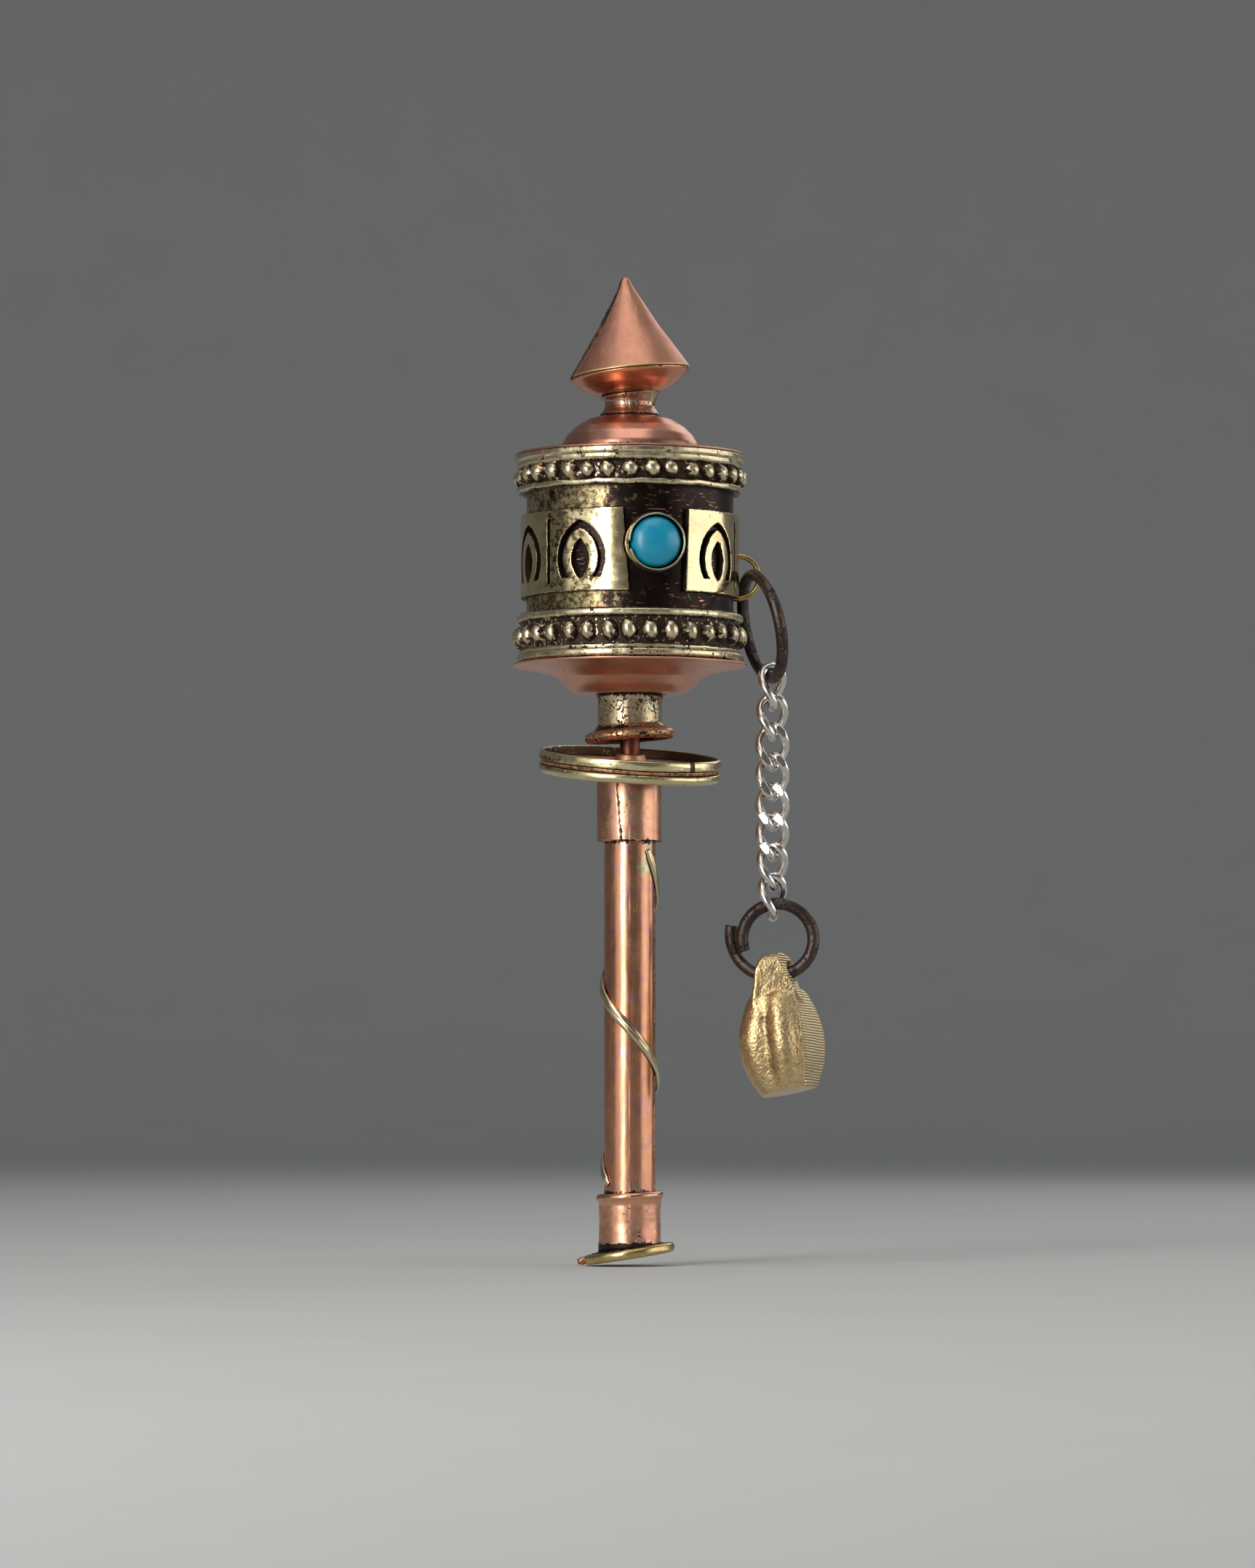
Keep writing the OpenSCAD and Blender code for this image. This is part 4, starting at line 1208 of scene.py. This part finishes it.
turned_piece(
    "foot_flange", m_foot, "handle", "brass",
    [(0.0, 0.0), (3.55, 0.0), (3.72, 0.06), (3.8, 0.22), (3.8, 0.56), (3.72, 0.74), (3.55, 0.8),
     (0.0, 0.8)],
    segs=220, step=0.08, passes=2, closed=False, shape=foot_shape, marks=foot_marks,
    post=lambda v: turn_points(v, FOOT_M))


def nub_mesh():
    nu, nv = 20, 12
    v = []
    for j in range(nv + 1):
        a = math.pi * j / nv
        for i in range(nu):
            b = TAU * i / nu
            k = 1 + 0.12 * math.sin(3 * b + 5 * a)
            v.append((-3.95 + 0.42 * k * math.sin(a) * math.cos(b), 0.1
                      + 0.3 * k * math.sin(a) * math.sin(b), 0.4 + 0.33 * math.cos(a)))
    v = turn_points(np.array(v), FOOT_M)
    o = new_mesh("foot_nub", v, grid_faces(nu, nv + 1))
    weld(o)
    fix_normals(o)
    return o


nub = nub_mesh()
finish_piece(nub, m_cone, "handle", [])


def spindle_shape(PH, R, Z, C):
    return R + (0.015 * fbm2(PH * 5 / TAU, Z * 1.5, 151) - 0.01) * (R > 0.4), Z, C


turned_piece(
    "spindle", m_spindle, "handle", "copper",
    [(0.0, 22.0), (0.84, 22.0), (0.84, 72.4), (0.0, 72.4)],
    segs=48, step=0.2, passes=0, closed=False, shape=spindle_shape, sharp=50)

# ---------------------------------------------------------------- wrapped strip

PITCH = 15.15
STRIP_TOP, STRIP_LOW = 34.05, 5.95
STRIP_FIRST, STRIP_EASES = 40, 90
STRIP_LAST = 360 * (STRIP_TOP - STRIP_LOW) / PITCH
STRIP_STEPS = 520
turn = np.linspace(STRIP_FIRST + 2, STRIP_LAST - 2, STRIP_STEPS)
steep = np.maximum(0, STRIP_EASES - turn) / (STRIP_EASES - STRIP_FIRST)
strip_z = STRIP_TOP - PITCH * (turn - STRIP_FIRST * steep) / 360
turn = np.radians(turn)
lift = np.clip(0.05 + 0.10 * np.clip(fbm2(turn * 1.1, 0 * turn, 161), -0.2, 0.6), 0.02, 0.16)
rad = 2.16 + lift
strip_path = round_axis(rad, turn, strip_z + 0.08 * fbm2(turn * 1.3, 0 * turn, 162))
strip_sec = [(-0.40, 0.0), (-0.41, 0.05), (-0.30, 0.16), (-0.12, 0.23), (-0.03, 0.20), (0.03, 0.20),
             (0.14, 0.235), (0.32, 0.15), (0.41, 0.05), (0.40, 0.0), (0.2, 0.0), (-0.2, 0.0)]
k = np.arange(STRIP_STEPS)
ends = smooth(k, -1, 10) * smooth(STRIP_STEPS - 1 - k, -1, 10)
strip = sweep("spiral_strip", strip_path, strip_sec, closed=False, ref=lambda p: p * np.array([1, 1, 0]),
              scale=0.6 + 0.4 * ends)
finish_piece(strip, m_strip, "handle", ["spiral_strip"])

# ---------------------------------------------------------------- tassel


def unit(v):
    v = np.asarray(v, float)
    return v / np.linalg.norm(v)


RING_AXIS = unit([0.932, 0.298, 0.208])
RING_MID = np.array([11.04, -0.46, 52.52])
b1 = unit(np.cross(RING_AXIS, [0, 0, 1]))
b2 = np.cross(RING_AXIS, b1)
a = np.linspace(0, TAU, 200, endpoint=False)
ring_path = RING_MID + 4.36 * (np.cos(a)[:, None] * b1 + np.sin(a)[:, None] * b2)
ring = sweep("upper_ring", ring_path, circle_section(0.495, 24), ref=lambda p: p - RING_MID)
finish_piece(ring, m_iron, "ring_body", ["upper_ring"])

LINK_A, LINK_B, TWIST, WIRE = 1.12, 1.74, math.radians(55), 0.35
CHAIN = np.array([11.87, -0.1, 47.5])
CHAIN_PITCH = 2.5
TURNS = [52, 32, 12, 12, 12, 20, 34, 50]
# The links with filed flats, and which way these look, from straight ahead towards the right.
FILED = {3: 6, 4: 4, 5: -15, 6: -15}
FLAT_DEPTH = 0.24


def link_path(k):
    t = np.linspace(0, TAU, 180, endpoint=False)
    turned, out = TWIST * np.sin(t), LINK_A * np.cos(t)
    path = np.c_[out * np.cos(turned), -out * np.sin(turned), LINK_B * np.sin(t)]
    return turn_points(path, rot_z(TURNS[k - 1]))


def file_flat(v, at, way):
    """Files the wire flat beyond a plane, near one place only."""
    out = (v - at) @ way - FLAT_DEPTH
    near = np.linalg.norm(v - at, axis=1) < 0.85
    return v - np.where(near & (out > 0), out * 0.97, 0)[:, None] * way


def link_mesh(k):
    path = link_path(k)
    across = np.array(rot_z(TURNS[k - 1])) @ np.array([0, 1, 0])

    def filed(v):
        if k in FILED:
            a = math.radians(FILED[k])
            way = np.array([math.sin(a), -math.cos(a), 0])
            for eighth, sign in ((1, 1), (5, 1), (3, -1), (7, -1)):
                v = file_flat(v, path[eighth * len(path) // 8], sign * way)
        return v + CHAIN - np.array([0, 0, CHAIN_PITCH * (k - 1)])

    o = sweep(f"link_{k}", path, circle_section(WIRE, 26), post=filed, sharp=22,
              ref=lambda p: p - (p @ across)[:, None] * across)
    return finish_piece(o, m_silver, f"link_{k}_body", [f"link_{k}"])


for k in range(1, len(TURNS) + 1):
    link_mesh(k)

LOW_RING = np.array([12.3, -0.1, 26.45])


def lap_radius(deg):
    return 2.96 + 1.04 * np.power(np.maximum(0, -95 - deg) / 102, 0.78)


def lap_back(deg):
    return 0.9 * np.clip((-118 - deg) / 40, 0, 1)


def low_ring_path(deg):
    """The open ring's wire: its last stretch widens and goes back, to lap over its start."""
    r = lap_radius(deg)
    return np.c_[r * np.cos(np.radians(deg)), lap_back(deg), r * np.sin(np.radians(deg))] + LOW_RING


low_path = low_ring_path(200 - 397 * np.linspace(0, 1, 260))
low_ring = sweep("lower_ring", low_path, circle_section(0.515, 24), closed=False,
                 ref=lambda p: p - LOW_RING)
finish_piece(low_ring, m_iron, "low_ring_body", ["lower_ring"])

# ---------------------------------------------------------------- cast weight

LUG = np.array([12.08, -0.1, 23.35])
WEIGHT_LEAN = -6.5
BULB_LOW, BULB_TOP = -10.6, -0.6
WIDEN = 7.7 / 7.24
OUTLINE = [(-10.6, 1.7), (-9.1, 2.65), (-8.2, 3.1), (-7.2, 3.42), (-6, 3.62), (-4.8, 3.62), (-3.9, 3.42),
           (-2.8, 3.0), (-1.55, 2.4), (-0.95, 1.9)]
DRESSED = [(-10.6, 1.8), (-9, 2.3), (-8, 2.55), (-7, 2.75), (-6, 2.83), (-5, 2.82), (-4, 2.72),
           (-3, 2.55), (-2, 2.25), (-0.9, 1.85)]
DRESSED_TURN = math.radians(60)
SAW_PITCH = 0.23
HOLE_R = 0.96
LOBES = [(-180, 0.97), (-150, 0.9), (-120, 1), (-92, 0.93), (-72, 1), (-48, 1), (-38, 0.92), (-28, 0.8),
         (-19, 0.86), (-10, 0.99), (-2, 1.02), (6, 1.0), (15, 0.93), (24, 0.92), (40, 0.95), (90, 0.96),
         (120, 0.9), (150, 1), (180, 0.97)]


def table(x, rows):
    xs, ys = zip(*rows)
    return np.interp(x, xs, ys)


def bulb_mesh():
    nu, nv = 260, 130
    z = np.linspace(BULB_LOW, BULB_TOP, nv)
    front = np.linspace(-180, 180, nu, endpoint=False)
    F, Z = np.meshgrid(front, z)
    wide = WIDEN * np.convolve(np.pad(table(z, OUTLINE), 6, "edge"), np.ones(13) / 13, "valid")
    W = wide[:, None] + 0 * F
    lob = table(front, LOBES)
    kern = np.hanning(13)
    lob = np.convolve(np.pad(lob, 6, "wrap"), kern / kern.sum(), "valid")
    t = np.clip((-0.95 - Z) / 9.65, 0, 1)
    L = 1 + (lob[None] - 1) * np.sin(math.pi * t ** 0.8) ** 0.6
    x, y = W * np.sin(np.radians(F)), -0.85 * W * np.cos(np.radians(F))
    R = np.hypot(x, y) * L
    T = np.arctan2(x, -y)
    R = R + 0.05 * fbm2(np.degrees(T) * 0.03, Z * 0.9, 171, 5) - 0.02
    face = np.cos(T - DRESSED_TURN)
    limit = table(Z, DRESSED) / np.where(face > 0.1, face, 1e9) + np.where(face > 0.1, 0, 99)
    cut = (face > 0.1) & (R > limit)
    R = np.where(cut, limit, R)
    top = smooth(Z, -1.6, BULB_TOP)
    R = R * (1 - 0.35 * top)
    v = round_axis(R, T, Z)
    v = np.vstack([v, [0, 0, BULB_LOW], [0, 0, BULB_TOP]])
    f = [tuple(q) for q in grid_faces(nu, nv)]
    f += [((k + 1) % nu, k, nu * nv) for k in range(nu)]
    f += [((nv - 1) * nu + k, (nv - 1) * nu + (k + 1) % nu, nu * nv + 1) for k in range(nu)]
    return v, f


def poly_prism(points, half):
    n = len(points)
    v = [(x, -half, z) for x, z in points] + [(x, half, z) for x, z in points]
    f = [tuple(range(n)), tuple(range(2 * n - 1, n - 1, -1))]
    f += [(k, k + n, (k + 1) % n + n, (k + 1) % n) for k in range(n)]
    return np.array(v, float), f


def helper(name, v, f):
    o = new_mesh(name, v, [tuple(q) for q in f], smooth_faces=False)
    fix_normals(o)
    return o


def boolean(o, other, op):
    m = o.modifiers.new(op, "BOOLEAN")
    m.operation = op
    m.solver = "EXACT"
    m.object = other


def baked(o):
    """Applies the modifiers and drops the mesh they were put on."""
    dg = bpy.context.evaluated_depsgraph_get()
    me = bpy.data.meshes.new_from_object(o.evaluated_get(dg), depsgraph=dg)
    o.modifiers.clear()
    old = o.data
    o.data = me
    bpy.data.meshes.remove(old)
    return o


def box_solid(name, lo, hi, m, at):
    v = np.array([(x, y, z) for x in (lo[0], hi[0]) for y in (lo[1], hi[1]) for z in (lo[2], hi[2])],
                 float)
    v = v @ np.array(m).T + np.array(at)
    f = [(0, 1, 3, 2), (4, 6, 7, 5), (0, 4, 5, 1), (2, 3, 7, 6), (0, 2, 6, 4), (1, 5, 7, 3)]
    return helper(name, v, f)


def points_of(o):
    co = np.empty(len(o.data.vertices) * 3)
    o.data.vertices.foreach_get("co", co)
    return co.reshape(-1, 3) / MM


def set_points(o, v):
    o.data.vertices.foreach_set("co", (v * MM).ravel())
    o.data.update()


def remesh(o, size, smoothing):
    r = o.modifiers.new("remesh", "REMESH")
    r.mode = "VOXEL"
    r.voxel_size = size * MM
    if smoothing:
        m = o.modifiers.new("smooth", "SMOOTH")
        m.factor = 0.5
        m.iterations = smoothing
    baked(o)


def lug_solid():
    front = [(-0.75, 1.95), (0.75, 1.95), (1.3, 1.5), (1.62, 1.0), (1.75, 0.1), (1.8, -0.8), (1.95, -1.5),
             (2.0, -2.4), (-2.3, -2.4), (-2.2, -1.5), (-1.95, -0.7), (-1.8, 0.2), (-1.62, 0.9),
             (-1.25, 1.5)]
    side = [(-0.8, 1.95), (0.8, 1.95), (1.3, 1.4), (1.5, 0.6), (1.5, -0.6), (1.7, -2.4), (-1.7, -2.4),
            (-1.5, -0.6), (-1.5, 0.6), (-1.3, 1.4)]
    lug = helper("lug_front", *poly_prism(front, 1.7))
    v, f = poly_prism(side, 2.5)
    lug_side = helper("lug_side", v[:, [1, 0, 2]], f)
    boolean(lug, lug_side, "INTERSECT")
    baked(lug)
    bpy.data.objects.remove(lug_side)
    return lug


def ring_path_cutter():
    """Room for the ring: a hole that follows the ring's own wire, lapped side included."""
    path = low_ring_path(np.linspace(-150, -30, 60)) - LUG
    return sweep("cut_c", path, circle_section(HOLE_R, 40), closed=False,
                 ref=lambda p: p - (LOW_RING - LUG))


# Each flat face: how it is turned, which way it looks, and a point on it.
LUG_M, LOW_M = rot_z(-30) @ rot_y(-22.6), rot_y(-4.4) @ rot_x(-7)
LUG_FACE = (np.array(LUG_M @ Vector((1, 0, 0))), np.array(rot_z(-30) @ Vector((0.75, 0, 2))))
LOW_FACE = (np.array(LOW_M @ Vector((0, 0, 1))), np.array([0, 0, -9.65]))


def weight_masks(v):
    """How far each point is on a sawn face (the lug's or the body's) or on the flat underside."""
    q = v[:, 0] * math.sin(DRESSED_TURN) - v[:, 1] * math.cos(DRESSED_TURN)
    body = smooth(q - table(v[:, 2], DRESSED), -0.12, -0.05) * (v[:, 2] < -1.2)
    lug = smooth(np.abs((v - LUG_FACE[1]) @ LUG_FACE[0]), 0.09, 0.03)
    low = smooth(np.abs((v - LOW_FACE[1]) @ LOW_FACE[0]), 0.09, 0.03)
    return np.maximum(body, lug), low


def make_weight():
    bulb = helper("weight", *bulb_mesh())
    lug = lug_solid()
    boolean(bulb, lug, "UNION")
    baked(bulb)
    remesh(bulb, 0.09, 22)
    lug_cut = box_solid("cut_a", (0, -20, -20), (20, 20, 20), LUG_M, LUG_FACE[1])
    low_cut = box_solid("cut_b", (-20, -20, -20), (20, 20, 0), LOW_M, LOW_FACE[1])
    for c in (lug_cut, low_cut):
        boolean(bulb, c, "DIFFERENCE")
    baked(bulb)
    set_points(bulb, turn_points(points_of(bulb), rot_y(WEIGHT_LEAN)))
    hole = ring_path_cutter()
    boolean(bulb, hole, "DIFFERENCE")
    baked(bulb)
    for x in (lug, lug_cut, low_cut, hole):
        bpy.data.objects.remove(x)
    remesh(bulb, 0.062, 1)
    leaned = points_of(bulb)
    v = turn_points(leaned, rot_y(-WEIGHT_LEAN))
    normals = np.empty(len(v) * 3)
    bulb.data.vertices.foreach_get("normal", normals)
    normals = normals.reshape(-1, 3)
    sawn, low = weight_masks(v)
    cast = 1 - np.maximum(sawn, low)
    coarse, fine = fbm3(v * 1.5, 181, 3), fbm3(v * 5.2, 191, 2)
    ridged = 0.25 - np.abs(fine)
    lift = cast * (0.05 * coarse + 0.07 * ridged - 0.025)
    turned = np.degrees(np.arctan2(v[:, 0], -v[:, 1]))
    # The groove between the left lobe and the middle ridge, which gets painted shade.
    groove = ridge(turned, -25, 10) * smooth(-2.4 - v[:, 2], 0, 1.6) * smooth(v[:, 2] + 9.6, 0, 2.5)
    inside = np.linalg.norm(leaned[:, [1, 2]], axis=1) < 1.15
    lift = np.where(inside & (v[:, 2] > -1.3), 0, lift)
    set_points(bulb, leaned + LUG + lift[:, None] * normals)
    me = bulb.data
    border = smooth(sawn, 0.02, 0.5) * smooth(1 - sawn, 0.02, 0.5)
    rubbed = np.clip(3 * border + 0.9 * cast * ridged, 0, 1)
    # Painted shade down the groove between the lobes, plus darker mottling that follows the cast grain.
    groove_shade_and_grain = np.clip((0.6 * groove - 0.7 * fine - 0.3 * coarse) * cast, 0, 1)
    add_masks(me, {"sawn": sawn, "low": low, "edge": rubbed, "cav": groove_shade_and_grain})
    me.polygons.foreach_set("use_smooth", np.full(len(me.polygons), True))
    me.update()
    return bulb


def weight_material():
    """Gritty cast brass, with a paler sawn face that keeps its saw lines."""
    g = Nodes("cast_brass")
    grain = g.noise(6400, 4, 0.7)
    broad = g.noise(330, 5, 0.6)
    col = g.mix(g.rise(broad, 0.35, 0.65), srgb(222, 196, 148), srgb(206, 176, 126))
    # The cav attribute brings painted shade into the groove between the lobes, and darker mottling along
    # the cast grain.
    col = g.mix(g.math("MULTIPLY", g.attr("cav"), 0.9), col, srgb(108, 82, 50))
    col = g.mix(g.ramp(grain, [(0.56, 0.0), (0.72, 0.5)]), col, srgb(140, 110, 66))
    col = g.mix(g.math("MULTIPLY", g.attr("edge"), 0.6), col, srgb(236, 212, 158))
    flat = g.math("MAXIMUM", g.attr("sawn"), g.attr("low"))
    pale = g.mix(g.noise(900, 4, 0.6), srgb(224, 203, 160), srgb(208, 184, 140))
    col = g.mix(flat, col, pale)
    across = g.put("ShaderNodeVectorMath", operation="DOT_PRODUCT")
    along = np.array(rot_y(WEIGHT_LEAN) @ Vector((0.064, 0.11, 1.0)))
    across.inputs[1].default_value = tuple(along * TAU / (SAW_PITCH * MM))
    g.link(g.coord, across.inputs[0])
    wander = g.math("MULTIPLY", g.noise(240, 3, 0.6, vec=g.scaled(1, 1, 4)), 9.0)
    wave = g.math("SINE", g.math("ADD", across.outputs["Value"], wander))
    lines = g.math("MULTIPLY", wave, g.attr("sawn"))
    dark = g.math("MULTIPLY", g.rise(lines, 0.3, 0.8), 0.5)
    col = g.mix(dark, col, srgb(92, 74, 44))
    g.feed("Base Color", col)
    g.bsdf.inputs["Metallic"].default_value = 1.0
    g.feed("Roughness", g.ramp(grain, [(0.3, 0.28), (0.75, 0.42)]))
    n1 = g.bump(lines, 1.0, 0.00005)
    gritty = g.math("MULTIPLY", grain, g.math("SUBTRACT", 1.0, g.math("MULTIPLY", flat, 0.85)))
    n2 = g.bump(gritty, 0.6, 0.00004, n1)
    g.feed("Normal", n2)
    return g.mat


m_weight = weight_material()
weight = make_weight()
finish_piece(weight, m_weight, "weight_body", ["weight"])

# ---------------------------------------------------------------- stage

FLOOR_Z = -0.64
FLOOR_R, CURVE_R, WALL_TOP = 900, 500, 1600


def stage_mesh():
    """A round floor that curves up into a wall on every side."""
    prof = [(r, FLOOR_Z) for r in (0, 20, 60, 150, 400, FLOOR_R)]
    for b in np.linspace(0, math.pi / 2, 13)[1:]:
        prof.append((FLOOR_R + CURVE_R * math.sin(b), FLOOR_Z + CURVE_R * (1 - math.cos(b))))
    prof.append((FLOOR_R + CURVE_R, WALL_TOP))
    p = np.array(prof)
    segs = 96
    phi = np.linspace(0, TAU, segs, endpoint=False)
    PH, R = np.meshgrid(phi, p[:, 0])
    _, Z = np.meshgrid(phi, p[:, 1])
    v = round_axis(R, PH, Z)
    return new_mesh("floor", v, grid_faces(segs, len(p)))


floor = stage_mesh()
g = Nodes("floor_paper")
g.feed("Base Color", g.mix(g.noise(40, 3), srgb(196, 195, 192), srgb(190, 189, 187)))
g.bsdf.inputs["Roughness"].default_value = 0.9
floor.data.materials.append(g.mat)


def softbox(name, azimuth, elevation, distance, width, height, radiance, aim=(0, 0, 42)):
    """An evenly bright panel. Azimuth is measured from the front, positive to the right."""
    a, e = math.radians(azimuth), math.radians(elevation)
    d = np.array([math.sin(a) * math.cos(e), -math.cos(a) * math.cos(e), math.sin(e)])
    at = np.array(aim) + d * distance
    L = bpy.data.lights.new(name, "AREA")
    L.shape = "RECTANGLE"
    L.size, L.size_y = width * MM, height * MM
    L.energy = radiance * math.pi * width * height * MM * MM
    o = bpy.data.objects.new(name, L)
    bpy.context.scene.collection.objects.link(o)
    o.location = Vector(at * MM)
    o.rotation_euler = Vector(-d).to_track_quat("-Z", "Y").to_euler()
    return o


softbox("key", -30, 12, 420, 120, 420, radiance=7.0)
softbox("key_spill", -44, 14, 480, 420, 480, radiance=0.8)
softbox("fill", 84, 8, 460, 540, 340, radiance=1.6)
softbox("top", 0, 74, 420, 320, 320, radiance=1.25)
softbox("back", 150, 35, 500, 300, 300, radiance=1.2)

world = bpy.data.worlds.new("studio")
world.use_nodes = True
world.node_tree.nodes["Background"].inputs[0].default_value = (0.9, 0.95, 1.0, 1)
world.node_tree.nodes["Background"].inputs[1].default_value = 0.35
bpy.context.scene.world = world

# ---------------------------------------------------------------- camera

# How far away the camera stands, how high it looks from, and how wide a view it has at the wheel.
D, ELEV, VIEW_WIDE = 500.0, -3.0, 130.65
SENSOR = 36
cam = bpy.data.cameras.new("camera")
cam.lens = SENSOR * D / VIEW_WIDE
cam.clip_start, cam.clip_end = 0.01, 10
camera = bpy.data.objects.new("camera", cam)
bpy.context.scene.collection.objects.link(camera)
aim = Vector((-0.2, 0, 39.4))
e = math.radians(ELEV)
back = Vector((0, -math.cos(e), math.sin(e)))
camera.location = (aim + back * D) * MM
camera.rotation_euler = (-back).to_track_quat("-Z", "Y").to_euler()
bpy.context.scene.camera = camera
bpy.context.scene.view_settings.view_transform = "Standard"
